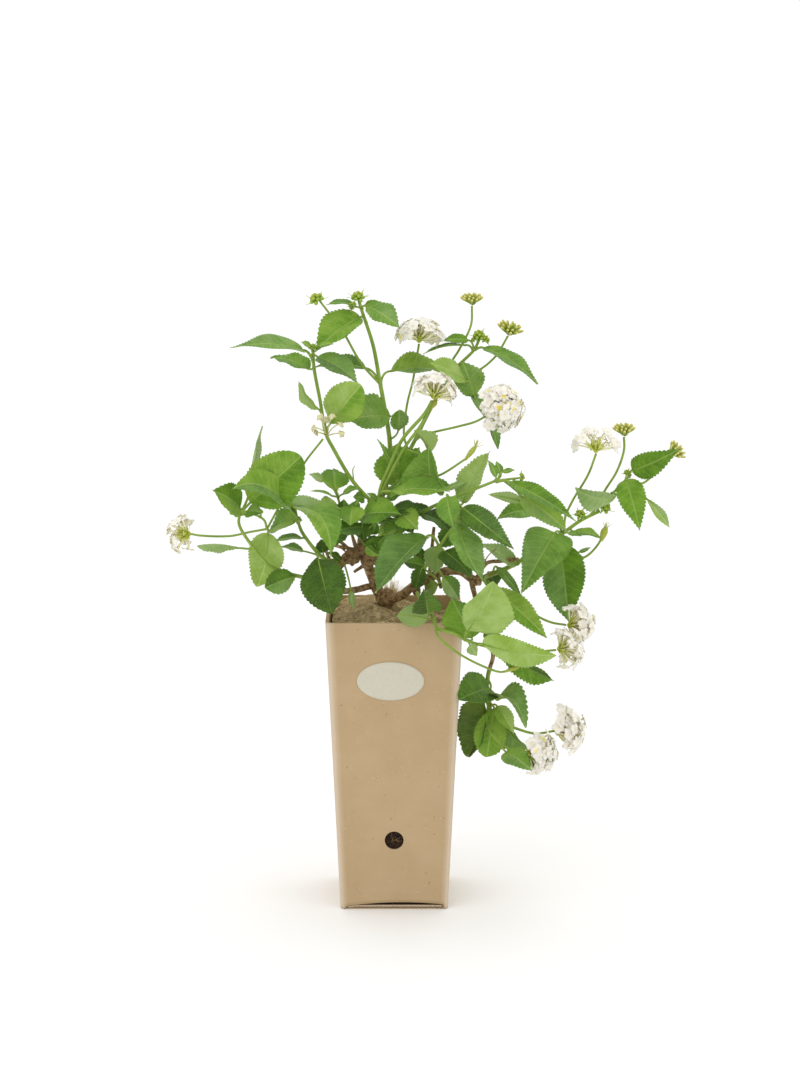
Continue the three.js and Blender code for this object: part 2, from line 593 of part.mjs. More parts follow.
    leaves: [
      [[488, 679, -14], [484, 685, -22], [461, 700, -52], 24, 14],
      [[487, 698, -16], [483, 705, -7], [468, 756, -10], 24, 34],
      [[488, 703, -16], [491, 710, -20], [485, 757, -24], 24, 18],
      [[490, 708, -17], [497, 707, -24], [514, 733, -36], 14, -20],
      [[490, 704, -17], [500, 699, -30], [522, 729, -52], 24, -24, [517, 707, -44]],
      [[491, 711, -18], [497, 716, -10], [529, 750, -6], 20, -50],
      [[501, 744, -41], [504, 751, -50], [530, 776, -78], 18, -38],
      [[548, 732, -26], [549, 728, -24], [552, 718, -20], 5, 10],
      [[548, 732, -26], [549, 734, -24], [553, 741, -20], 5, -10],
    ],
    knobs: [[[555, 731, -26], 2.2], [[527, 751, -50], 2.2]],
  },
];

// ---- the flower heads --------------------------------------------------------------------------
// seat: the receptacle; faces: the way the head opens; wide, tall: reach of the florets' limbs

const BLOOMS = [
  { name: "bloom_top", seat: [419, 342, 20], faces: [0.02, -0.3, 1], wide: 17.5, tall: 12 },
  { name: "bloom_pink", seat: [433, 398, -34], faces: [0.2, -0.45, 0.95], wide: 16, tall: 13 },
  { name: "bloom_middle", seat: [493, 410, -17], faces: [0.2, -1, 0.2], wide: 16.5, tall: 12 },
  { name: "bloom_far_left", seat: [190, 534, -43], faces: [-1, -0.3, 0.06], wide: 13, tall: 11 },
  { name: "bloom_right_low", seat: [568, 625, -27], faces: [0.9, -0.55, 0.14], wide: 13, tall: 11 },
  { name: "bloom_right_under", seat: [558, 649, -50], faces: [0.75, -0.6, -0.16], wide: 9, tall: 9 },
  { name: "bloom_right_high", seat: [596, 452, -12], faces: [-0.05, -0.35, 1], wide: 17, tall: 11 },
  { name: "bloom_hanging_low", seat: [527, 751, -50], faces: [0.95, -0.3, -0.06], wide: 17, tall: 10 },
  { name: "bloom_hanging_high", seat: [555, 731, -26], faces: [0.9, -0.5, 0.12], wide: 17, tall: 12 },
];

// Heads whose florets are still closed or just opening: a dome of small round buds.
const BUD_HEADS = [
  { name: "bud_head_top", seat: [472, 305, 25], faces: [0, -0.25, 1], wide: 7.6, tall: 3.4 },
  { name: "bud_head_top_right", seat: [508, 335, 30], faces: [0.3, -0.35, 0.9], wide: 9.4, tall: 4 },
  { name: "bud_head_right", seat: [624, 436, 8], faces: [0, -0.25, 1], wide: 7.6, tall: 4 },
  { name: "bud_head_far_right", seat: [671, 455, 38], faces: [0.6, -0.4, 0.6], wide: 7.4, tall: 4.4 },
];
const BUD = 2;                  // radius of a closed bud
const CORE = 5.6;               // radius of the closed tubes at the middle of an open head
const CORE_RISE = 5.6;          // its centre above the receptacle
const SMALL_HEAD = 12;          // a head that reaches less than this is smaller all over
const FACE_UP = new THREE.Vector3(0, 0.9342, 0.3568);   // middle of one face of the ball

// A spent head, with its withered florets hanging round the stalk.
const WITHERED = {
  name: "withered_head", seat: [327, 436, -30], limb: 2.4,
  tips: [[312, 427, -30], [319, 416, -32], [332, 414, -35], [342, 423, -36], [344, 434, -34]],
};

function headFrame({ seat, faces }) {
  return { seat: place(seat), axis: new THREE.Vector3(...faces).normalize() };
}

function openHead(head) {
  const { seat, axis } = headFrame(head);
  const size = head.wide < SMALL_HEAD ? 0.75 : 1;
  const centre = seat.clone().addScaledVector(axis, CORE_RISE * size);
  return headOnBall(centre, axis, CORE * size, -0.4, (foot, direction) => (
    floret(foot, spot(centre, axis, direction, head.wide, head.tall), LIMB * size)));
}

function budHead(head) {
  const { seat, axis } = headFrame(head);
  const centre = seat.clone().addScaledVector(axis, 3.2);
  return headOnBall(centre, axis, 3.2, 0, (foot, direction) => (
    closedBud(foot, spot(centre, axis, direction, head.wide, head.tall), BUD)));
}

function witheredHead({ seat, tips, limb }) {
  const middle = place(seat);
  const florets = tips.map((tip) => {
    const end = place(tip);
    const out = end.clone().sub(middle).normalize();
    const foot = mouthRim([middle.clone().add(FACE_UP)], middle, out, [0.9, 0.9, 0.9]);
    return trianglesOfFaces([...closedBud(foot, end, limb), [foot[2], foot[1], foot[0]]]);
  });
  return fuse([ball(middle, 2.6), ...florets]);
}

// A head sits on its receptacle with a small gap, so the knob and the stalk are cut out of it.
function seated(solid, { seat, faces }, radius) {
  const middle = place(seat);
  const back = new THREE.Vector3(...faces).normalize().multiplyScalar(-9).add(middle);
  const room = fuse([knob([seat, radius], GAP), stem([middle, back], STALK_ROOM, STALK_ROOM, 4)]);
  return mainBody(solid.subtract(room));
}

// ---- the wood ----------------------------------------------------------------------------------

const WOOD = [
  [[[386, 640, 2], [386, 607, 2], [361, 563, 0], [357, 548, 0], [362, 530, -1], [379, 508, 0]], TRUNK, 4.2],
  [[[378, 592, -2], [395, 598, -4], [420, 582, -8], [455, 570, -4], [477, 582, -1]], 3.6, 3.2],
  [[[372, 586, 0], [340, 591, -15], [303, 577, -27]], 2.6, 2.3],
  [[[416, 584, -8], [417, 593, -14]], 2.8, 3],
  [[[470, 575, -2], [478, 608, -12], [493, 654, -14], [489, 671, -14]], 2.6, 2.4],
  [[[429, 580, -7], [434, 527, -3]], 1.5, 1.2],
  [[[352, 560, 0], [334, 562, -8]], 3.4, 2.8],
];
const BURLS = [
  [[352, 556, -2], 7], [[364, 549, -3], 6.6], [[379, 507, -2], 8], [[385, 598, 1], 7.6],
  [[476, 581, -2], 4.6], [[386, 505, 4], 4.6],
];
const STUBS = [
  [[352, 552, -2], [340, 541, -6]], [[364, 546, -4], [375, 538, -10]], [[356, 548, -3], [352, 535, -8]],
  [[366, 556, -2], [378, 556, -8]], [[346, 560, -2], [336, 571, -6]], [[360, 566, 0], [350, 574, -4]],
  [[345, 548, 2], [333, 545, 8]], [[438, 577, -6], [441, 588, -12]],
];

function wood(shoots) {
  const limbs = WOOD.map(([points, start, end]) => stem(points.map(place), start, end, start > 4 ? 6 : 5));
  const burls = BURLS.map(([centre, radius]) => ball(place(centre), radius));
  const stubs = STUBS.map((points) => stem(points.map(place), 1.6, 1, 3));
  const sockets = shoots.flatMap(({ stems }) => {
    const [points, radius] = stems[0];
    const [root, next] = points.slice(0, 2).map(place);
    const inward = root.clone().sub(next).setLength(1.2).add(root);
    const outward = next.clone().sub(root).multiplyScalar(1.6).add(root);
    return [stem([inward, outward], radius + 2 * SOCKET, radius + 2 * SOCKET, 4)];
  });
  return mainBody(fuse([...limbs, ...burls, ...stubs]).subtract(fuse(sockets)));
}

// ---- the leafy shoots as solids ----------------------------------------------------------------

function shoot({ stems, leaves, knobs }) {
  const parts = stems.map(([points, start, end]) => (
    stem(points.map(place), start, end, start > THIN_STEM ? 4 : 3)));
  parts.push(...leaves.flatMap(leaf));
  parts.push(...knobs.map((bud) => knob(bud)));
  return mainBody(fuse(parts));
}

// ---- the pot -----------------------------------------------------------------------------------

function potWidth(height) {
  return THREE.MathUtils.lerp(POT_FOOT, POT_TOP, height / POT_HEIGHT);
}

function roundedSquare(width, radius) {
  const half = width / 2;
  const shape = new THREE.Shape();
  shape.moveTo(-half + radius, -half);
  shape.lineTo(half - radius, -half);
  shape.absarc(half - radius, -half + radius, radius, -Math.PI / 2, 0, false);
  shape.lineTo(half, half - radius);
  shape.absarc(half - radius, half - radius, radius, 0, Math.PI / 2, false);
  shape.lineTo(-half + radius, half);
  shape.absarc(-half + radius, half - radius, radius, Math.PI / 2, Math.PI, false);
  shape.lineTo(-half, -half + radius);
  shape.absarc(-half + radius, -half + radius, radius, Math.PI, 1.5 * Math.PI, false);
  return shape;
}

// A square column with rounded edges that widens with height as the pot does, inset from it.
function potColumn(from, to, inset) {
  const geometry = new THREE.ExtrudeGeometry(roundedSquare(1, CORNER / POT_FOOT), {
    depth: 1, steps: 1, bevelEnabled: false, curveSegments: 2,
  });
  const position = geometry.attributes.position;
  for (let i = 0; i < position.count; i += 1) {
    const height = THREE.MathUtils.lerp(from, to, position.getZ(i));
    const width = potWidth(height) - 2 * inset;
    position.setXYZ(i, position.getX(i) * width, position.getY(i) * width, height);
  }
  return toSolid(geometry);
}

// The front panel's lower edge is bowed up between the two front corners.
function bowedGap() {
  const shape = new THREE.Shape();
  shape.moveTo(-36, -1);
  shape.lineTo(-36, 0.8);
  shape.quadraticCurveTo(2, 9.2, 36, 3.9);
  shape.lineTo(36, -1);
  const geometry = new THREE.ExtrudeGeometry(shape, { depth: 12, bevelEnabled: false, curveSegments: 6 });
  geometry.rotateX(Math.PI / 2);
  geometry.translate(0, -POT_FOOT / 2 + 5, 0);
  return toSolid(geometry);
}

function frontCylinder(radius, height, length, scaleX = 1, sides = 20) {
  const geometry = new THREE.CylinderGeometry(radius, radius, length, sides);
  geometry.scale(scaleX, 1, 1);
  geometry.translate(0, -potWidth(height) / 2, height);
  return toSolid(geometry);
}

function sleeve() {
  const hollow = potColumn(-1, POT_HEIGHT + 1, WALL);
  const shell = potColumn(0, POT_HEIGHT, 0).subtract(hollow);
  return mainBody(shell.subtract(bowedGap()).subtract(frontCylinder(HOLE_RADIUS, HOLE_HEIGHT, 12)));
}

function bottomFlap() {
  const floor = potColumn(0, FLAP, WALL + GAP);
  const lip = new THREE.BoxGeometry(LIP_RIGHT - LIP_LEFT, 8, FLAP);
  lip.translate((LIP_LEFT + LIP_RIGHT) / 2, -POT_FOOT / 2 + 4.2, FLAP / 2);
  const edge = potColumn(-1, FLAP + 1, 0.2);
  return floor.add(toSolid(lip).intersect(edge));
}

// The label lies on the sloping front panel as a thin oval.
function label() {
  const slope = Math.atan((POT_TOP - POT_FOOT) / 2 / POT_HEIGHT);
  const geometry = new THREE.CylinderGeometry(0.5, 0.5, LABEL_THICK, 24);
  geometry.scale(LABEL_WIDE, 1, LABEL_TALL);
  geometry.rotateX(slope);
  const lift = LABEL_THICK / 2 + GAP;
  geometry.translate(-2.6, -potWidth(LABEL_HEIGHT) / 2 - lift / Math.cos(slope), LABEL_HEIGHT);
  return toSolid(geometry);
}

function trunkHole() {
  const radius = (TRUNK + GAP) / Math.cos(Math.PI / 8);
  return stem([place([386, 645, 2]), place([386, 620, 2]), place([384, 590, 2])], radius, radius, 8);
}

function rootBall() {
  return potColumn(FLAP + GAP, SOIL_TOP, WALL + GAP).subtract(trunkHole());
}

// Height of the mat at a place: it mounds up round the stem and sinks in the back right corner.
function matHeight(x, y) {
  const mound = MAT_MOUND * Math.exp(-((x + 8) ** 2 + (y + 4) ** 2) / 420);
  const dip = MAT_DIP * Math.exp(-((x - 40) ** 2 + (y - 34) ** 2) / 500);
  return MAT_EDGE + mound - dip + 0.9 * Math.sin(0.35 * x + 1) * Math.cos(0.31 * y);
}

function fibreMat() {
  const cells = 6;
  const width = potWidth(SOIL_TOP) - 2 * (WALL + GAP) - 1.6;
  const geometry = new THREE.BoxGeometry(width, width, 1, cells, cells, 1);
  const position = geometry.attributes.position;
  for (let i = 0; i < position.count; i += 1) {
    const [x, y] = [position.getX(i), position.getY(i)];
    const height = position.getZ(i) > 0 ? matHeight(x, y) : SOIL_TOP + GAP;
    position.setZ(i, height);
  }
  const collar = [place([386, 640, 2]), place([386, 600, 2]), place([383, 585, 2])];
  return mainBody(toSolid(geometry).subtract(stem(collar, 8, 8, 10)));
}

// ---- assembly ----------------------------------------------------------------------------------

const plant = new THREE.Group();
plant.add(mesh("pot_sleeve", sleeve(), 0xb29a76, 0.9));
plant.add(mesh("pot_bottom", bottomFlap(), 0xa58c68, 0.9));
plant.add(mesh("pot_label", label(), 0xcfcab8, 0.7));
plant.add(mesh("root_ball", rootBall(), 0x2e241b, 1));
plant.add(mesh("fibre_mat", fibreMat(), 0x8a7453, 1));
plant.add(mesh("woody_stems", wood(SHOOTS), 0x6b5340, 0.9));
for (const growth of SHOOTS) plant.add(mesh(growth.name, shoot(growth), 0x5b8a3a, 0.6));
for (const head of BLOOMS) {
  plant.add(mesh(head.name, seated(openHead(head), head, RECEPTACLE), 0xeceae4, 0.6));
}
for (const head of BUD_HEADS) {
  plant.add(mesh(head.name, seated(budHead(head), head, BUD_SEAT), 0xd9d08a, 0.6));
}
plant.add(mesh(WITHERED.name, witheredHead(WITHERED), 0xb89a86, 0.8));

export default plant;
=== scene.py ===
"""A white lantana in a tall folded cardboard pot.

Lengths are worked out in millimetres and put into the meshes in metres. The origin is the middle of
the pot's underside, +Z is up, and the pot's front panel faces -Y.
"""

import functools
import math

import bpy
import numpy as np
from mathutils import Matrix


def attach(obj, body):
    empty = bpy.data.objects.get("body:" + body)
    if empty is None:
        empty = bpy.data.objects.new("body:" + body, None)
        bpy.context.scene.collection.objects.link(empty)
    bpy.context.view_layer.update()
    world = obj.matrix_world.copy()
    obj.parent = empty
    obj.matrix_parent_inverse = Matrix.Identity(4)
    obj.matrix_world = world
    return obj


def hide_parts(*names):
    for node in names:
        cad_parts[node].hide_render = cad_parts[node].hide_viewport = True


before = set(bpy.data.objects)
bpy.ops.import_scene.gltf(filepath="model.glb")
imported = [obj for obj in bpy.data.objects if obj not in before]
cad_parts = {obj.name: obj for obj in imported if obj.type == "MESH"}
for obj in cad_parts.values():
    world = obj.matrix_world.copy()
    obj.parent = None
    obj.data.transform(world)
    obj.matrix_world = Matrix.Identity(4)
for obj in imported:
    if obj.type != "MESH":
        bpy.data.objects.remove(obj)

bl_info = {
    "name": "Potted lantana",
    "version": (1, 0, 0),
    "blender": (4, 5, 0),
    "location": "3D View > Sidebar > Lantana",
    "description": "Builds a white lantana with its leaves, flower heads, wood and cardboard pot",
    "category": "Add Mesh",
}

MM = 0.001

# ---- the pot, as it was cut and folded -----------------------------------------------------------

POT_TOP = 100.0             # outside width at the rim
POT_FOOT = 79.6             # outside width at the floor
POT_HEIGHT = 220.0
WALL = 2.2                  # corrugated board
CORNER = 3.2                # radius of a score line
HOLE_RADIUS = 7.0
HOLE_HEIGHT = 54.0
LABEL_WIDE = 49.0
LABEL_TALL = 29.0
LABEL_AT = (-2.6, 176.5)    # middle of the label: X and height
LABEL_THICK = 0.5
FLAP = 3.0                  # thickness of the folded bottom
LIP = (-34.0, 35.0)         # the bottom shows below the front panel between these two
LIP_INSET = 0.35            # how far the bottom's cut edge stands behind the front panel's face
PANEL_BOW = 0.5             # how far a panel bulges at its middle
TOUCH = 0.02                # faces that would lie in one plane are kept this far apart
FLUTE = 3.1                 # pitch of the board's flutes
LINER = 0.45                # thickness of the board's flat papers
WAVE = 0.48                 # and of the wavy one between them
BOARD_BEND = math.radians(40)   # the board's edges that turn more than this stay sharp
SOIL_TOP = 198.0
MAT_EDGE = 211.0            # height of the fibre mat at the walls

# ---- setting out ---------------------------------------------------------------------------------
# The plant is set out on an upright sheet: a point is [column, row, depth], depth being its Y.
# The sheet is seen from a station in front of the pot, so columns and rows are lines of sight.

STATION = np.array([4.3, -1938.0, 641.0])
SHEET_MIDDLE = (400.0, 533.5)
SHEET_DISTANCE = 2667.0
SHEET_TILT = math.radians(10.64)
AHEAD = np.array([0.0, math.cos(SHEET_TILT), -math.sin(SHEET_TILT)])
ABOVE = np.array([0.0, math.sin(SHEET_TILT), math.cos(SHEET_TILT)])
SHEET_TALL = 1067.0
FILM_TALL = 36.0            # the long side of the camera's film, in millimetres


def place(points):
    """Sheet points to millimetres: where each sight line meets the upright plane Y = depth."""
    points = np.asarray(points, float)
    sight = AHEAD * SHEET_DISTANCE + ABOVE * (SHEET_MIDDLE[1] - points[..., 1:2])
    sight = sight + np.array([1.0, 0.0, 0.0]) * (points[..., 0:1] - SHEET_MIDDLE[0])
    steps = (points[..., 2:3] - STATION[1]) / sight[..., 1:2]
    return STATION + sight * steps


# ---- the plant's growth --------------------------------------------------------------------------
# The tables go by shoot, and a shoot's name is that of its CAD node.

WOODY = 1.6                 # a stem with a thicker root than this turns brown there

# The green stems of a shoot: (points, radius at the root, radius at the tip)
STEMS = {
    "shoot_left_tall": [
        ([(375, 504, -3), (368, 498, -6), (352, 480, -9), (333, 448, -13), (326, 434, -14),
          (320, 400, -15), (314, 368, -12), (313, 350, -10)], 1.4, 1.1),
        ([(354, 483, -9), (353, 474, -9), (353, 469, -9), (355, 466, -9)], 0.5, 0.25),
    ],
    "shoot_main": [
        ([(379, 503, 3), (386, 485, 12), (390, 447, 16), (384, 405, 12), (379.5, 380, 10),
          (373, 345, 10), (361, 308, 10), (358, 297, 10)], 1.9, 1.0),
        ([(379, 383, 10), (361, 363, 7), (343, 332, 3), (319.5, 300.5, 0)], 0.95, 0.7),
    ],
    "shoot_centre": [
        ([(378, 504, -10), (381, 487, -12), (388, 470, -15), (402, 440, -22), (425, 413, -30),
          (432, 401, -33)], 1.4, 1.1),
        ([(379, 498, -10), (391, 473, -18), (405, 447, -24), (421, 425, -27),
          (431, 406, -28)], 1.1, 0.95),
        ([(381, 492, -11), (400, 486, -13), (420, 480, -17), (440, 475, -24),
          (467, 458, -30)], 0.9, 0.75),
    ],
    "shoot_upper_right": [
        ([(387, 502, 7), (400, 470, 16), (415, 440, 22), (430, 410, 27), (452, 372, 30),
          (463, 361, 30), (474, 350, 30), (480, 338, 30)], 1.6, 0.9),
        ([(409, 452, 20), (404, 436, 21), (407, 405, 25), (413, 380, 23),
          (419, 344, 20)], 0.8, 0.75),
        ([(414, 442, 22), (423, 435, 8), (434, 432, -4), (460, 426, -14), (477, 421, -18),
          (494, 410.5, -17)], 0.8, 0.75),
        ([(453, 370, 30), (452, 362, 30), (459, 350, 33), (471, 325, 29),
          (472, 306, 25)], 0.85, 0.75),
        ([(453, 370, 30), (466, 373, 33), (477, 371, 33), (495, 357, 32),
          (508, 336, 30)], 0.85, 0.75),
    ],
    "shoot_right_centre": [
        ([(384, 511, -8), (400, 517, -14), (415, 516, -18), (430, 508, -22), (450, 499, -26),
          (470, 491, -30), (485, 485, -32), (495, 481, -34)], 1.5, 0.9),
        ([(495, 481, -34), (510, 479, -35), (520, 478, -36)], 0.8, 0.7),
    ],
    "shoot_inner_left": [
        ([(357, 533, -4), (350, 523, -7), (342, 510, -8), (336, 491, -10)], 1.1, 0.8),
        ([(350, 523, -7), (357, 520, -10), (364, 518, -12)], 0.9, 0.8),
        ([(366, 549, -5), (370, 531, -10), (366, 517, -12)], 0.8, 0.6),
        ([(371, 550, -5), (382, 532, -12), (398, 520, -20)], 0.8, 0.5),
    ],
    "shoot_left_outer": [
        ([(307, 578, -25), (290, 574, -32), (270, 566, -36), (250, 543, -41), (239, 524, -44),
          (240, 512, -44)], 1.5, 0.9),
        ([(240, 515, -44), (252, 514, -42), (264, 520, -39), (267, 530, -36)], 0.8, 0.8),
        ([(267, 529, -36), (250, 532, -38), (230, 536, -39), (200, 535.5, -42),
          (191, 534, -43)], 0.8, 0.75),
        ([(267, 529, -36), (280, 505, -22), (294, 480, -16), (306.5, 460, -21), (319, 444, -27),
          (323, 439, -27)], 0.8, 0.75),
    ],
    "shoot_left_inner": [
        ([(345, 562, -4), (335, 561, -10), (325, 559, -16), (317, 552, -22), (308, 541, -27),
          (301, 530, -31), (298, 521, -33)], 1.7, 1.0),
    ],
    "shoot_front_centre": [
        ([(418, 579, -14), (424, 569, -23), (431, 558, -29), (439, 547, -34), (450, 531, -41),
          (459, 519, -46)], 1.5, 1.0),
    ],
    "shoot_right": [
        ([(474, 582, -2), (487, 576, 1), (505, 569, 4), (520, 561, 8), (540, 549, 12),
          (558, 537, 14), (580, 521, 17), (600, 511, 18)], 2.0, 1.1),
        ([(564, 533, 15), (565, 518, 12), (573, 500, 6), (588, 475, -3),
          (596, 454, -12)], 0.9, 0.8),
        ([(597, 512, 18), (603, 494, 14), (617, 471, 10), (624, 450, 8), (624, 437, 8)], 0.85, 0.8),
        ([(590, 516, 18), (600, 503, 23), (615, 491, 26), (630, 475, 27)], 1.0, 0.9),
        ([(615, 491, 26), (628, 488, 30), (645, 482, 34), (660, 468, 37),
          (671, 456, 38)], 0.85, 0.75),
        ([(545, 546, 13), (565, 560, 20), (585, 557, 20), (599, 543, 18),
          (604, 530, 17)], 0.85, 0.8),
        ([(484, 577, 1), (497, 590, -6), (530, 612, -14), (550, 622, -20),
          (566, 625, -26)], 0.9, 0.8),
    ],
    "shoot_front_low": [
        ([(417, 592, -14), (423, 603, -34), (430, 612, -48), (434, 620, -57), (437, 628, -62),
          (453, 633, -66), (468, 641, -70), (492, 648, -74)], 1.6, 1.0),
        ([(435, 623, -59), (438, 636, -67), (455, 651, -70), (478, 664, -74), (500, 672, -77),
          (507, 671, -78)], 0.85, 0.75),
        ([(491, 648, -74), (512, 652, -64), (530, 652, -56), (545, 651, -52),
          (556, 650, -50)], 0.85, 0.8),
    ],
    "shoot_hanging": [
        ([(490, 668, -14), (488, 676, -14), (487, 700, -16), (492, 712, -18), (500, 721, -20),
          (515, 728, -22), (535, 733.5, -24), (554, 731, -26)], 1.6, 0.8),
        ([(488, 703, -16), (488, 727, -28), (500, 743, -40), (517, 752, -48),
          (525, 751, -50)], 0.9, 0.8),
    ],
}

# Cool is a painted reflection of the sky.
# Light is each leaf's own tone with painted shade and light in it.
TONES = {                   # light from 0 dark to 1 pale; cool from 0 yellow-green to 1 blue-green
    "pale": (0.9, 0.15),
    "soft": (0.64, 0.6),
    "lime": (0.82, 0.0),
    "bright": (0.66, 0.05),
    "vivid": (0.46, 0.0),
    "mid": (0.5, 0.35),
    "cool": (0.52, 0.85),
    "deep": (0.27, 0.15),
    "teal": (0.3, 0.85),
    "dark": (0.08, 0.15),
    "grey": (0.8, 1.0),
}
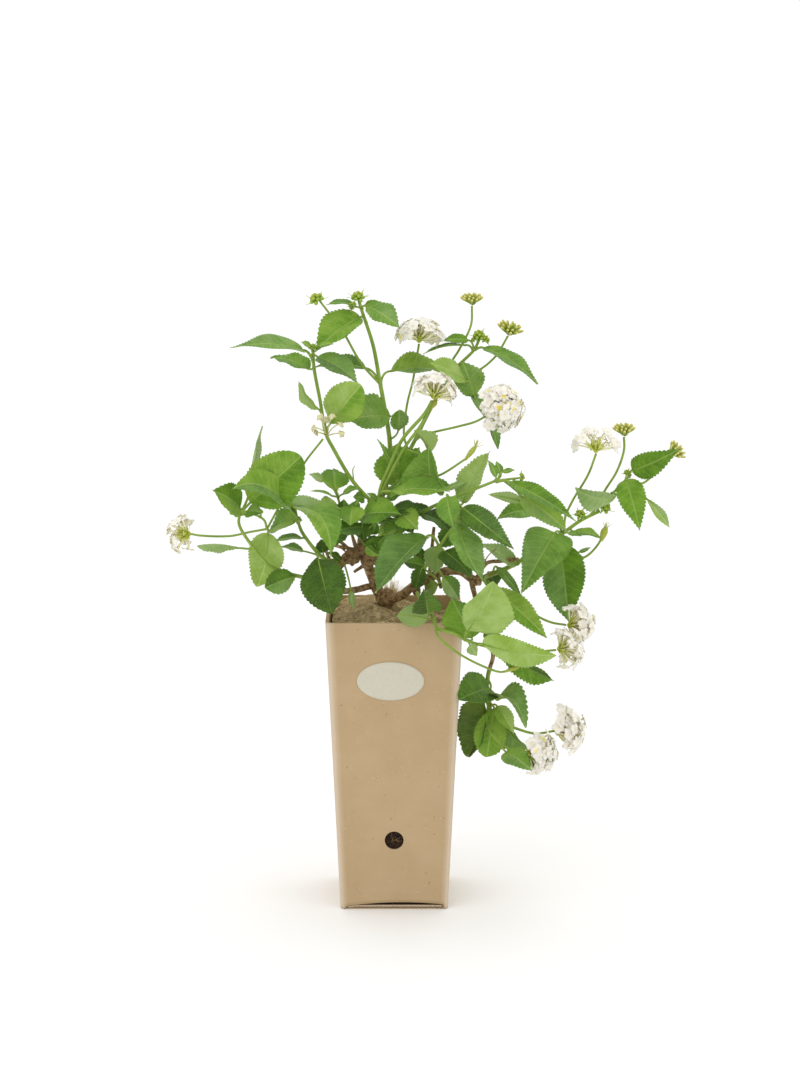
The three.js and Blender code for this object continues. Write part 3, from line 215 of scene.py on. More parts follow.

# Where the two halves' tones differ, the difference is painted sheen and light.
# Leaves: (joint on the stem, foot of the blade, tip, width, turn, tones, own shape where given).
# A turn of 0 shows the upper face to the station, and more than 90 either way shows the underside.
# The tones are those of the left and the right half, as seen with the tip upwards.
# A shape may hold over, a point that the midrib arches over; fold, the slope of the two halves;
# peak, the power that moves the widest place towards the tip as it grows, for both halves or for
# the left and the right one; and point, 0.5 for a round tip and more for a drawn-out one.
LEAVES = {
    "shoot_left_tall": [
        ((314, 367, -12), (303, 350, -16), (230, 348, -50), 20, 60, "mid/cool",
         {"peak": 0.55, "point": 1.5}),
        ((314, 368, -12), (309, 369, -6), (270, 357.5, 16), 18, 60, "vivid/vivid"),
        ((313, 354, -10), (318, 357, -12), (358, 383, -32), 22, -50, "cool/teal"),
        ((313, 351, -10), (311, 348, -12), (301, 342, -18), 6, 50, "bright/bright"),
        ((313, 351, -10), (319, 346, -14), (334, 344, -18), 6, -50, "bright/mid"),
        ((326, 432, -14), (320, 411, -19), (299, 382, -28), 17, -112, "pale/pale",
         {"peak": 1.6, "point": 0.6}),
        ((326, 432, -14), (330, 424, -17), (361, 385, -36), 28, -12, "pale/bright",
         {"peak": (1.15, 1.6), "point": 0.5}),
        ((366, 497, -5), (364, 498, -8), (353, 497, -14), 9, 20, "vivid/mid"),
    ],
    "shoot_main": [
        ((366, 322, 10), (360, 317, 7), (315, 352, -12), 26, 38, "bright/bright",
         {"fold": 0.5, "peak": 0.75}),
        ((361, 308, 10), (357, 307, 9), (326, 305, 0), 9, 66, "vivid/mid",
         {"over": (342, 302.5, 4)}),
        ((361, 308, 10), (366, 306, 8), (399, 327, -8), 19, -38, "cool/mid", {"peak": (0.9, 1.0)}),
        ((362, 309, 10), (365, 305, 12), (382, 304, 8), 7, -50, "vivid/vivid"),
        ((379, 381, 10), (365, 368, 13), (316, 367, 34), 19, 60, "mid/deep", {"peak": 0.85}),
        ((381, 385, 10), (391, 371, 22), (447, 372, 36), 26, -58, "bright/cool",
         {"fold": 0.4, "peak": 0.9}),
        ((386, 418, 13), (390, 416, 9), (347, 420, 0), 29, 30, "soft/soft",
         {"fold": 0.5, "peak": (1.0, 0.85)}),
        ((389, 440, 16), (398, 431, 10), (399, 410, -4), 13, 15, "mid/cool",
         {"peak": 1.5, "point": 0.6}),
    ],
    "shoot_centre": [
        ((381, 494, -11), (398, 486, -6), (398, 443, 6), 34, 0, "bright/vivid"),
        ((408, 484, -14), (434, 489, -22), (429, 446, -32), 34, -36, "mid/mid",
         {"fold": 0.7, "peak": 0.6}),
        ((384, 489, -12), (397, 479, -9), (377, 439, -10), 9, 50, "bright/mid"),
        ((382, 494, -12), (391, 491, -32), (450, 491.5, -50), 26, -60, "mid/bright",
         {"over": (421, 489, -42), "peak": 0.95}),
        ((404, 448, -23), (431, 452, -12), (414, 430, -6), 16, 130, "pale/pale", {"fold": 0.7}),
        ((404, 486, -13), (426, 485, -10), (453, 489, -14), 12, -40, "mid/grey"),
        ((384, 492, -12), (388, 492, -18), (402, 478, -26), 7, 40, "mid/bright"),
        ((383, 497, -11), (390, 498, -20), (404, 492, -30), 8, -30, "bright/deep"),
        ((381, 497, -11), (377, 500, -16), (367, 493, -22), 5, 30, "mid/mid"),
        ((386, 489, -13), (398, 480, 0), (420, 447, 12), 24, 20, "vivid/vivid"),
        ((432, 489, -22), (446, 490, -20), (467, 482, -14), 5, -30, "grey/grey"),
    ],
    "shoot_upper_right": [
        ((459, 365, 30), (466, 381, 14), (430, 363, -8), 19, 50, "pale/pale",
         {"over": (450, 371, 3), "peak": 1.0}),
        ((460, 364, 30), (474, 396, 24), (462, 361, 18), 21, 20, "soft/soft", {"peak": 0.9}),
        ((453, 371, 30), (457, 385, 32), (498, 449, 12), 25, -66, "cool/mid",
         {"over": (483, 409, 24), "peak": 1.2}),
        ((474, 350, 30), (468, 340, 30), (442, 341, 22), 9, 42, "vivid/vivid"),
        ((473, 350, 30), (466, 345, 27), (423, 354, 8), 8, 76, "deep/deep"),
        ((475, 350, 30), (484, 348, 28), (538, 384, 4), 19, -60, "mid/cool"),
    ],
    "shoot_right_centre": [
        ((495, 481, -34), (496, 477, -34), (488, 460, -32), 5.5, 30, "mid/mid"),
        ((496, 480, -34), (501, 474, -33), (496, 461, -30), 5.5, 10, "mid/cool"),
        ((498, 480, -34), (503, 472, -36), (515, 470, -38), 4, -30, "mid/mid"),
        ((455, 497, -27), (463, 503, -18), (490, 451, -4), 20, -38, "pale/pale", {"fold": 0.4}),
        ((497, 482, -34), (510, 482, -40), (576, 521, -74), 15, -44, "vivid/mid",
         {"over": (543, 499, -58), "fold": 0.3}),
        ((514, 479, -35), (522, 497, -38), (567, 531, -50), 20, -30, "bright/soft"),
        ((503, 480, -34), (523, 502, -36), (488, 494.5, -44), 8, 150, "grey/grey"),
        ((415, 516, -18), (419, 514, -18), (456, 541, -28), 22, -60, "dark/deep",
         {"over": (440, 522, -22)}),
        ((450, 499, -26), (462, 511, -28), (490, 540, -36), 18, -42, "deep/mid"),
        ((402, 517, -14), (407, 513, -10), (432, 509, -4), 14, -50, "dark/deep"),
        ((405, 517, -15), (405, 519, -22), (413, 534, -40), 13, 0, "deep/mid"),
        ((390, 513, -11), (393, 509, -16), (421, 513, -34), 14, -40, "teal/deep"),
        ((400, 517, -14), (402, 514, -28), (418, 530, -44), 17, -10, "bright/bright"),
        ((392, 514, -12), (396, 524, -18), (378, 536, -26), 13, 30, "lime/pale"),
        ((399, 516, -13), (400, 521, -18), (385, 541, -28), 14, 5, "mid/mid"),
        ((390, 514, -12), (394, 519, -20), (378, 524, -26), 8, 60, "mid/mid"),
        ((440, 503, -24), (446, 508, -10), (468, 530, -2), 16, -40, "dark/deep"),
    ],
    "shoot_inner_left": [
        ((336, 492, -10), (335, 489, -9), (333, 469, 14), 20, 12, "vivid/vivid"),
        ((337, 494, -10), (323, 481, -16), (309, 474, -20), 7, 40, "grey/grey"),
        ((338, 497, -10), (333, 496, -14), (310, 491, -28), 3.5, 60, "mid/mid"),
        ((338, 497, -10), (343, 494, -10), (359, 488, -14), 9, -60, "bright/vivid"),
        ((340, 504, -9), (337, 505, -14), (317, 507, -32), 13, 42, "grey/pale"),
        ((342, 509, -8), (324, 510, -3), (272, 506, 12), 19, 60, "teal/grey"),
        ((364, 518, -12), (362, 515, -15), (401, 514, -34), 24, -40, "bright/vivid",
         {"peak": 0.75}),
        ((349, 522, -7), (344, 529, -12), (335, 546, -16), 14, 35, "deep/dark"),
        ((350, 523, -7), (361, 527, -14), (336, 532, -20), 18, 40, "teal/dark"),
        ((357, 520, -10), (362, 522, -12), (364, 541, -16), 14, 0, "dark/dark"),
        ((348, 518, -7), (353, 506, -18), (350, 526, -24), 20, 15, "bright/mid"),
        ((360, 532, -6), (369, 537, -12), (377, 548, -16), 9, 0, "deep/deep"),
        ((358, 533, -5), (366, 546, -14), (379, 556, -18), 8, 30, "deep/bright"),
        ((350, 523, -7), (352, 512, -14), (358, 499, -20), 9, 10, "mid/cool"),
        ((345, 514, -8), (344, 510, -14), (344, 499, -18), 9, -15, "deep/mid"),
        ((371, 550, -5), (370, 551, -10), (387, 533, -18), 15, 20, "deep/vivid"),
        ((370, 532, -10), (372, 534, -12), (377, 521, -16), 8, 10, "mid/deep"),
    ],
    "shoot_left_outer": [
        ((241, 513, -44), (250, 503, -47), (301, 456, -56), 37, 0, "bright/vivid",
         {"peak": 1.0, "point": 0.5}),
        ((241, 512, -44), (250, 490, -40), (262.5, 426, -26), 19, 78, "grey/grey",
         {"over": (255, 453, -33)}),
        ((240, 513, -44), (240, 508, -46), (212, 490, -64), 24, 38, "bright/vivid"),
        ((243, 514, -44), (247, 511, -47), (262, 513, -56), 12, -30, "soft/mid"),
        ((256, 550, -40), (238, 548, -40), (197, 546, -50), 14, 72, "grey/cool",
         {"fold": -0.6, "peak": 1.3, "point": 0.6}),
        ((267, 529, -36), (268, 533, -30), (257, 587, -20), 25, 8, "pale/pale",
         {"over": (266, 560, -27), "point": 0.7}),
        ((303, 577, -27), (296, 576.5, -32), (265, 588, -52), 17, 12, "cool/deep",
         {"peak": (1.7, 1.15), "point": 0.7}),
        ((240, 515, -44), (235, 514, -42), (229, 511, -39), 4, 20, "bright/bright"),
        ((260, 517, -40), (261, 514, -40), (259, 508, -42), 4, 0, "bright/bright"),
    ],
    "shoot_left_inner": [
        ((298, 522, -33), (297, 508, -38), (331, 557, -68), 32, -46, "mid/bright",
         {"over": (322, 519, -56)}),
        ((298, 523, -33), (296, 520.5, -31), (269, 532, -14), 20, 50, "bright/mid", {"fold": 0.5}),
        ((298, 521, -33), (298, 518, -45), (232, 489, -86), 23, 44, "cool/bright",
         {"over": (265, 487, -68), "fold": 0.4, "peak": 0.85}),
        ((308, 541, -27), (303, 538, -31), (274, 542, -48), 9, 60, "grey/cool"),
        ((322, 557, -18), (303, 551, -20), (281, 547, -22), 10, 58, "grey/cool"),
        ((317, 553, -22), (318, 558, -30), (332, 614, -66), 32, 6, "dark/dark",
         {"peak": 1.1, "point": 0.8}),
        ((326, 559, -15), (323, 553, -12), (321, 539, -8), 10, 10, "dark/dark"),
        ((342, 562, -6), (341, 561, -8), (327, 552, -14), 7, 40, "deep/deep"),
        ((344, 563, -6), (351, 591, -14), (354, 611, -20), 5, 10, "grey/grey"),
    ],
    "shoot_front_centre": [
        ((459, 519, -46), (463, 508, -47), (514, 549, -84), 18, -20, "teal/deep",
         {"over": (486, 526, -64), "fold": 0.3}),
        ((459, 519, -46), (447, 497, -56), (454, 529, -74), 17, 15, "mid/mid"),
        ((459, 519, -46), (459, 524, -52), (484, 582, -84), 28, -48, "cool/mid",
         {"over": (467, 553, -70)}),
        ((439, 547, -34), (426, 537, -44), (375, 593, -74), 35, 52, "teal/teal",
         {"over": (402, 559, -64), "fold": 0.5, "peak": 0.8}),
        ((440, 546, -35), (444, 551, -40), (472, 579, -58), 26, -42, "dark/dark"),
        ((423, 570, -22), (422, 568, -24), (415, 590, -22), 11, 10, "dark/dark"),
        ((426, 566, -25), (424, 566, -22), (403, 562, -12), 10, 30, "deep/mid"),
        ((433, 556, -30), (443, 577, -22), (459, 600, -12), 13, -20, "cool/grey"),
        ((424, 569, -23), (438, 585, -16), (424, 592, 0), 11, 20, "pale/lime"),
        ((438, 548, -34), (437, 546, -34), (435, 575, -36), 16, 165, "deep/deep"),
        ((451, 530, -41), (452, 531, -36), (441, 547, -30), 13, 10, "mid/deep"),
        ((424, 569, -23), (424, 563, -16), (414, 545, -8), 9, 10, "dark/dark"),
    ],
    "shoot_right": [
        ((561, 534, 14), (555, 533, 6), (520.5, 595, -34), 34, 10, "mid/cool", {"peak": 0.45}),
        ((557, 538, 14), (560, 546, 14), (569, 623, 2), 31, -4, "vivid/cool",
         {"peak": (0.6, 0.85)}),
        ((520, 561, 8), (516, 565, 5), (480, 544, -8), 14, 40, "grey/grey"),
        ((493, 573, 2), (497, 567, -3), (523, 600, -22), 7, -20, "cool/cool"),
        ((487, 577, 0), (489, 572, 4), (497, 587, 10), 12, -15, "dark/dark"),
        ((562, 533, 15), (548, 516, 8), (497, 519, -18), 16, 45, "mid/vivid",
         {"over": (522, 511, -4), "peak": 1.0}),
        ((612, 493, 25), (617, 495, 14), (575, 488, -8), 20, -45, "grey/grey",
         {"over": (598, 498, 0), "fold": 0.4, "peak": 1.2}),
        ((630, 475, 27), (632, 470, 24), (680, 448.5, 6), 18.5, 6, "vivid/vivid",
         {"over": (652, 463, 15)}),
        ((629, 477, 27), (626, 480, 18), (640, 531, -4), 20, -10, "vivid/vivid", {"peak": 0.6}),
        ((640, 484, 33), (646, 498, 32), (669.5, 527.5, 20), 7.5, -20, "grey/pale", {"peak": 1.3}),
        ((570, 528, 16), (574, 532, 12), (601, 538, -2), 11, -58, "bright/mid"),
        ((565, 531, 15), (568, 533, 6), (582, 536, 2), 5, -40, "mid/mid"),
        ((582, 557.5, 20), (579, 552, 20), (591, 547, 20), 3, 20, "cool/cool"),
        ((488, 576, 1), (489, 587, -20), (547, 638, -52), 17, -22, "bright/vivid",
         {"fold": 0.4, "peak": (0.95, 1.2)}),
    ],
    "shoot_front_low": [
        ((431, 614, -51), (428, 612, -60), (424, 589, -90), 20, 0, "dark/deep", {"peak": 0.8}),
        ((433, 618, -54), (428, 619, -58), (396, 615, -68), 19.5, 150, "dark/dark"),
        ((467, 640, -69), (472, 638, -63), (452, 598, -50), 27, -4, "bright/mid",
         {"peak": (1.0, 0.6)}),
        ((465, 640, -69), (467, 631, -73), (494, 582, -94), 41, 36, "pale/pale",
         {"fold": 0.5, "peak": (1.6, 0.95), "point": 0.8}),
        ((479, 644, -72), (482, 644, -78), (556, 655, -104), 19, -6, "lime/pale",
         {"over": (520, 653, -88), "peak": (0.5, 1.2), "point": 0.9}),
        ((490, 648, -74), (495, 651, -74), (554, 681, -84), 18, 44, "dark/vivid",
         {"over": (524, 666, -80), "fold": 0.5, "peak": 1.4}),
        ((486, 646, -73), (486, 640, -70), (490, 633, -64), 7, 0, "deep/deep"),
        ((468, 641, -70), (470, 645, -72), (477, 656, -76), 8, 10, "grey/grey"),
    ],
    "shoot_hanging": [
        ((488, 679, -14), (490, 689, -20), (459, 700, -50), 27, 26, "deep/deep",
         {"fold": 0.5, "peak": 0.9, "point": 0.6}),
        ((487, 698, -16), (484, 701, -7), (468, 757, -10), 31, 45, "teal/cool",
         {"over": (480, 727, -12), "fold": 0.6, "peak": (1.0, 0.8), "point": 0.55}),
        ((488, 703, -16), (494, 708, -20), (487, 757, -24), 23, 0, "bright/bright",
         {"peak": 1.1, "point": 0.6}),
        ((490, 708, -17), (497, 706, -24), (514, 734, -36), 12, -20, "pale/bright"),
        ((490, 704, -17), (497, 700, -30), (526, 728, -52), 20, -42, "cool/cool",
         {"over": (513, 701, -44), "fold": 0.8, "peak": 0.5, "point": 0.9}),
        ((491, 711, -18), (498, 717, -10), (529, 751, -6), 22, 52, "mid/cool",
         {"fold": 0.5, "peak": 0.9}),
        ((501, 744, -41), (506, 752, -50), (532, 771, -78), 16, -20, "mid/cool"),
        ((517, 752, -48), (523, 753, -52), (537, 771, -60), 6, -20, "mid/deep"),
    ],
}

# Green heads whose buds are still closed, by shoot: (centre, the way it faces, radius, bracts)
GREEN_HEADS = {
    "shoot_main": [
        ((317, 300, 0), (-0.4, -0.3, 1), 4.9, 6),
        ((358, 298, 10), (0, -0.2, 1), 4.6, 8),
        ((353, 306, 7), (-0.7, -0.4, 0.7), 3.0, 4),
    ],
    "shoot_upper_right": [
        ((479, 336, 30), (-0.1, -0.3, 1), 4.2, 5),
        ((485, 340, 29), (0.5, -0.4, 0.8), 3.2, 5),
        ((474, 340, 30), (-0.7, -0.2, 0.7), 2.2, 3),
    ],
    "shoot_right_centre": [((521, 477, -36), (1, -0.3, 0.1), 2.6, 5)],
    "shoot_right": [
        ((604, 508, 18), (0.3, -0.4, 0.9), 4.6, 5),
        ((580, 515, 17), (0, -0.6, 0.8), 3.8, 6),
        ((627, 473, 27), (-0.3, -0.4, 0.9), 2.4, 5),
    ],
    "shoot_left_outer": [((239, 511, -44), (0, -0.4, 1), 1.9, 3)],
    "shoot_left_inner": [((298, 519, -33), (0, -0.3, 1), 1.9, 3)],
    "shoot_left_tall": [((313, 347, -10), (0, -0.3, 1), 2.3, 5)],
    "shoot_inner_left": [((336, 489, -10), (0, -0.2, 1), 1.7, 3)],
    "shoot_front_centre": [((459, 516, -46), (0, -0.4, 1), 1.9, 3)],
}

# Spent heads whose florets have dropped: the stalk's fat olive end, with a few prongs.
SPENT_HEADS = {
    "shoot_centre": [
        ((465, 460, -30), (476, 446, -30), 1.7),
        ((430, 409, -28), (436, 400, -28), 2.1),
    ],
    "shoot_front_low": [((505, 671.5, -78), (522, 665.5, -78), 1.6)],
    "shoot_right": [((601, 541, 17), (606, 527, 17), 2.4)],
}

# ---- the flower heads ----------------------------------------------------------------------------
# seat: the top of the stalk; faces: the way the head opens; wide, tall: reach of the florets
# bare, opening: florets have dropped where their direction's cosine to bare is more than opening
# age: how far the florets have aged, from 0 to 1; eyes: the share of them with a bright yellow eye
# spread: how far round they grow, in degrees, where it isn't FULL_SPREAD
# turned: how far the florets turn to the front

BLOOMS = {
    "bloom_top": {"seat": (419, 342, 20), "faces": (0.06, -0.1, 1), "wide": 19, "tall": 13.5,
                  "florets": 40, "bare": (0, -1, -0.45), "opening": 0.72, "eyes": 0.06},
    "bloom_pink": {"seat": (433, 398, -34), "faces": (0.32, -0.25, 0.95), "wide": 18, "tall": 13,
                   "florets": 38, "bare": (0, -1, -0.5), "opening": 0.42, "age": 0.35},
    "bloom_middle": {"seat": (495, 410, -17), "faces": (0.9, -0.7, 0.42), "wide": 19, "tall": 17,
                     "florets": 64, "eyes": 0.3},
    "bloom_far_left": {"seat": (190, 534, -43), "faces": (-1, -0.2, 0.1), "wide": 15.5, "tall": 11,
                       "florets": 20, "bare": (0.4, -1, 0), "opening": 0.5},
    "bloom_right_low": {"seat": (568, 625, -27), "faces": (0.95, -0.35, 0.05), "wide": 17,
                        "tall": 15, "florets": 38, "bare": (-0.9, -1, 0.3), "opening": 0.45,
                        "age": 0.3, "eyes": 0.05},
    "bloom_right_under": {"seat": (558, 649, -50), "faces": (0.85, -0.4, 0.25), "wide": 17,
                          "tall": 15, "florets": 38, "bare": (-0.6, -1, -0.2), "opening": 0.35,
                          "age": 0.35, "eyes": 0.05},
    "bloom_right_high": {"seat": (596, 452, -12), "faces": (-0.02, -0.1, 1), "wide": 18, "tall": 12,
                         "florets": 24, "bare": (0, -1, -0.1), "opening": 0.3, "turned": 0.8},
    "bloom_hanging_low": {"seat": (527, 751, -50), "faces": (0.95, -0.3, -0.1), "wide": 19,
                          "tall": 17, "florets": 40, "spread": 84, "eyes": 0.15},
    "bloom_hanging_high": {"seat": (555, 731, -26), "faces": (0.9, -0.35, 0.22), "wide": 19,
                           "tall": 18, "florets": 40, "spread": 72, "eyes": 0.05},
}
BUD_HEADS = {
    "bud_head_top": {"seat": (472, 305, 25), "faces": (0, -0.25, 1), "wide": 7.6, "tall": 3.4},
    "bud_head_top_right": {"seat": (508, 335, 30), "faces": (0.3, -0.35, 0.9), "wide": 9.4,
                           "tall": 4},
    "bud_head_right": {"seat": (624, 436, 8), "faces": (0, -0.25, 1), "wide": 7.6, "tall": 4},
    "bud_head_far_right": {"seat": (671, 455, 38), "faces": (0.6, -0.4, 0.6), "wide": 7.4,
                           "tall": 4.4},
}
CORE_RISE = 5.6             # the middle of an open head above its seat
FOOT_RISE = 1.2             # and the spot that its florets grow from
FULL_SPREAD = 112           # how far round an open head's florets grow, in degrees
BRIGHT_EYE, DULL_EYE = 0.95, 0.14   # how yellow a floret's eye is
FIVE_LOBED = 0.3            # the share of florets with five lobes; the rest have four
WITHERED_SEAT = (327, 436, -30)
WITHERED_TIPS = [(312, 427, -30), (319, 416, -32), (332, 414, -35), (342, 423, -36),
                 (344, 434, -34), (314, 433, -28), (325, 418, -26)]

# ---- the wood ------------------------------------------------------------------------------------

WOOD = [                    # (points, radius at the root, radius at the tip)
    ([(386, 640, 2), (386, 607, 2), (377, 588, 1), (368, 565, 0), (362, 548, 0), (365, 530, -1),
      (379, 508, 0)], 4.4, 3.4),
    ([(378, 592, -2), (395, 598, -4), (420, 582, -8), (455, 570, -4), (477, 582, -1)], 3.6, 3.2),
    ([(372, 586, 0), (340, 591, -15), (303, 577, -27)], 2.6, 2.3),
    ([(416, 584, -8), (417, 593, -14)], 2.8, 3),
    ([(470, 575, -2), (478, 608, -12), (493, 654, -14), (489, 671, -14)], 2.0, 1.4),
    ([(429, 580, -7), (434, 527, -3)], 1.5, 1.2),
    ([(352, 560, 0), (334, 562, -8)], 3.4, 2.8),
]
TWIGS = [                   # dead twigs, set out as the wood is
    ([(478, 576, -2), (487, 563, -6), (502, 561, -4), (518, 559, 4)], 1.6, 1.3),
    ([(480, 573, -3), (488, 556, -7), (496, 549, -9)], 0.6, 0.4),
    ([(334, 562, -8), (330, 560, -10), (326, 551, -12)], 1.6, 1.1),
    ([(425, 581, -8), (417, 562, -14), (414, 544, -18)], 0.9, 0.6),
]
BURLS = [                   # (centre, radius)
    ((352, 556, -2), 7), ((364, 549, -3), 6.6), ((379, 507, -2), 8), ((385, 598, 1), 7.6),
    ((476, 581, -2), 4.6), ((386, 505, 4), 4.6), ((370, 558, -2), 6),
]
STUBS = [                   # cut side twigs: where they leave the wood, and where they were cut
    ((352, 552, -2), (340, 541, -6)), ((364, 546, -4), (375, 538, -10)),
    ((356, 548, -3), (352, 535, -8)), ((366, 556, -2), (378, 556, -8)),
    ((346, 560, -2), (336, 571, -6)), ((369, 562, 0), (354, 572, -4)),
    ((345, 548, 2), (333, 545, 8)), ((438, 577, -6), (441, 588, -12)),
]

# ---- sizes and colours that a user would change --------------------------------------------------


def linear(hex_colour):
    """An sRGB hex colour as linear red, green, blue and 1: ((c + 0.055) / 1.055) ** 2.4 each."""
    channels = np.array([int(hex_colour[i:i + 2], 16) for i in (1, 3, 5)]) / 255
    curved = ((channels + 0.055) / 1.055) ** 2.4
    return (*np.where(channels > 0.04045, curved, channels / 12.92).tolist(), 1.0)


def length_property(name, description, millimetres):
    return bpy.props.FloatProperty(
        name=name, description=description, default=millimetres * MM, min=0, unit="LENGTH",
        precision=5)


def colour_property(name, description, hex_colour):
    return bpy.props.FloatVectorProperty(
        name=name, description=description, default=linear(hex_colour), size=4, min=0, max=1,
        subtype="COLOR")


class LantanaSizes(bpy.types.PropertyGroup):
    """Sizes of the leaves, florets, strands and board that can be changed."""

    tooth_pitch: length_property("Tooth pitch", "Distance between the teeth of a leaf", 2.6)
    tooth_size: length_property("Tooth size", "How far a tooth stands out of a leaf's edge", 1.15)
    vein_pitch: length_property("Vein pitch", "Distance between a large leaf's side veins", 5.8)
    quilting: length_property("Quilting", "How far a leaf bulges between its side veins", 0.4)
    leaf_thickness: length_property("Leaf thickness", "Thickness of a leaf", 0.35)
    floret_radius: length_property("Floret radius", "Radius of an open floret", 5.0)
    strand_radius: length_property("Strand radius", "Radius of a fibre of the mat", 0.14)
    strands: bpy.props.IntProperty(
        name="Strands", description="Number of loose fibres on the mat", default=2600, min=0)


class LantanaColours(bpy.types.PropertyGroup):
    """Colours of the plant and its pot that can be changed."""

    kraft: colour_property("Kraft board", "Colour of the pot", "#B9A07C")
    # The next colour is a painted highlight on the board's rounded corners and cut paper edges.
    crease: colour_property("Crease", "Colour of the board where a score stretches it", "#D6C6B2")
    paper: colour_property("Label paper", "Colour of the label", "#C9C4B2")
    soil: colour_property("Soil", "Colour of the potting soil", "#20160F")
    coir_dark: colour_property("Dark coir", "Colour of the darkest fibres", "#B59A6C")
    coir_light: colour_property("Light coir", "Colour of the lightest fibres", "#F2E0B4")
    bark: colour_property("Bark", "Colour of the old wood", "#A0835A")
    stem: colour_property("Stem", "Colour of the green stems", "#86A33C")
    leaf_dark: colour_property("Dark leaf", "Colour of the deepest leaves", "#2F4C08")
    leaf_mid: colour_property("Mid leaf", "Colour of most leaves", "#64901C")
    leaf_pale: colour_property("Pale leaf", "Colour of the youngest leaves", "#A5BF6A")
    # The cool leaf colour is a painted reflection of the sky.
    leaf_cool: colour_property("Cool leaf", "Colour of leaves that mirror the sky", "#688B4A")
    petal: colour_property("Petal", "Colour of an open floret", "#FBF7EA")
    blush: colour_property("Blush", "Colour of an ageing floret", "#EFE6DA")
    eye: colour_property("Eye", "Colour of a floret's eye", "#FBE45C")
    bud: colour_property("Bud", "Colour of a bud that is about to open", "#DDD286")
    calyx: colour_property("Calyx", "Colour of the foot of a bud", "#B0B92E")
    withered: colour_property("Withered", "Colour of withered florets", "#D8D3A4")


# ---- helpers for paths and noise -----------------------------------------------------------------


def unit(vectors):
    """Vectors divided by their lengths."""
    vectors = np.asarray(vectors, float)
    return vectors / np.linalg.norm(vectors, axis=-1, keepdims=True)


def circle(count):
    """Angles spaced evenly round a circle."""
    return np.linspace(0, 2 * np.pi, count, endpoint=False)


def spokes(angles, first, second):
    """Directions at those angles from the first to the second, which are square to each other."""
    return np.cos(angles)[:, None] * first + np.sin(angles)[:, None] * second


def parabola(start, control, end, t):
    """The parabola (1 - t)^2 start + 2 t (1 - t) control + t^2 end, for a column of t."""
    return (1 - t) ** 2 * start + 2 * t * (1 - t) * control + t ** 2 * end


def smooth_path(points, per_span):
    """A smooth curve through points: in each span the cubic whose end slopes are those of the
    parabola through a point and its two neighbours, with the square roots of the gaps as its
    parameter."""
    points = np.asarray(points, float)
    knots = np.r_[0, np.cumsum(np.linalg.norm(np.diff(points, axis=0), axis=1) ** 0.5)]
    slopes = np.gradient(points, knots, axis=0)
    spots = np.linspace(0, len(points) - 1, per_span * (len(points) - 1) + 1)
    span = np.minimum(spots.astype(int), len(points) - 2)
    u = (spots - span)[:, None]
    gap = np.diff(knots)[span][:, None]
    start = (2 * u ** 3 - 3 * u ** 2 + 1) * points[span]
    start = start + (u ** 3 - 2 * u ** 2 + u) * gap * slopes[span]
    end = (3 * u ** 2 - 2 * u ** 3) * points[span + 1] + (u ** 3 - u ** 2) * gap * slopes[span + 1]
    return start + end


def frames_along(path):
    """Two unit directions square to a path (..., rows, 3): the cross product of its tangent with
    the axis that it runs least along, and the cross product of that with the tangent."""
    tangents = unit(np.gradient(path, axis=-2))
    steepest = np.abs(tangents).max(axis=-2)
    reference = np.eye(3)[np.argmin(steepest, axis=-1)][..., None, :]
    side = unit(np.cross(tangents, np.broadcast_to(reference, tangents.shape)))
    return side, np.cross(side, tangents)


def tube(path, radii, sides=8, squareness=0.0):
    """Rings round a path (..., rows, 3): centre + r(a) * (cos a * side + sin a * up), where r is
    the radius times 1 + squareness * cos(4a)."""
    side, up = frames_along(path)
    angles = circle(sides)
    radii = np.broadcast_to(np.asarray(radii, float), path.shape[:-1])[..., None]
    reach = (radii * (1 + squareness * np.cos(4 * angles)))[..., None]
    return path[..., None, :] + reach * spokes(angles, side[..., None, :], up[..., None, :])


def lumps(points, size, seed):
    """Smooth noise from about -1 to 1: twice the mean of seven sine waves of about that length."""
    chance = np.random.default_rng(seed)
    waves = unit(chance.normal(size=(7, 3))) * 2 * np.pi / size
    phases = chance.uniform(0, 2 * np.pi, 7)
    return np.sin(points @ waves.T + phases).mean(axis=-1) * 2


def turned_about(vectors, axis, angle):
    """Vectors turned right-handed about a unit axis by an angle, by Rodrigues' formula."""
    cosine, sine = np.cos(angle), np.sin(angle)
    along = (vectors * axis).sum(axis=-1, keepdims=True)
    return vectors * cosine + np.cross(axis, vectors) * sine + axis * along * (1 - cosine)


def square_to(axis):
    """Two unit directions square to an axis and to each other."""
    reference = np.eye(3)[np.argmin(np.abs(axis))]
    first = unit(np.cross(axis, reference))
    return first, np.cross(axis, first)


# ---- skins: closed meshes from rings of points ---------------------------------------------------


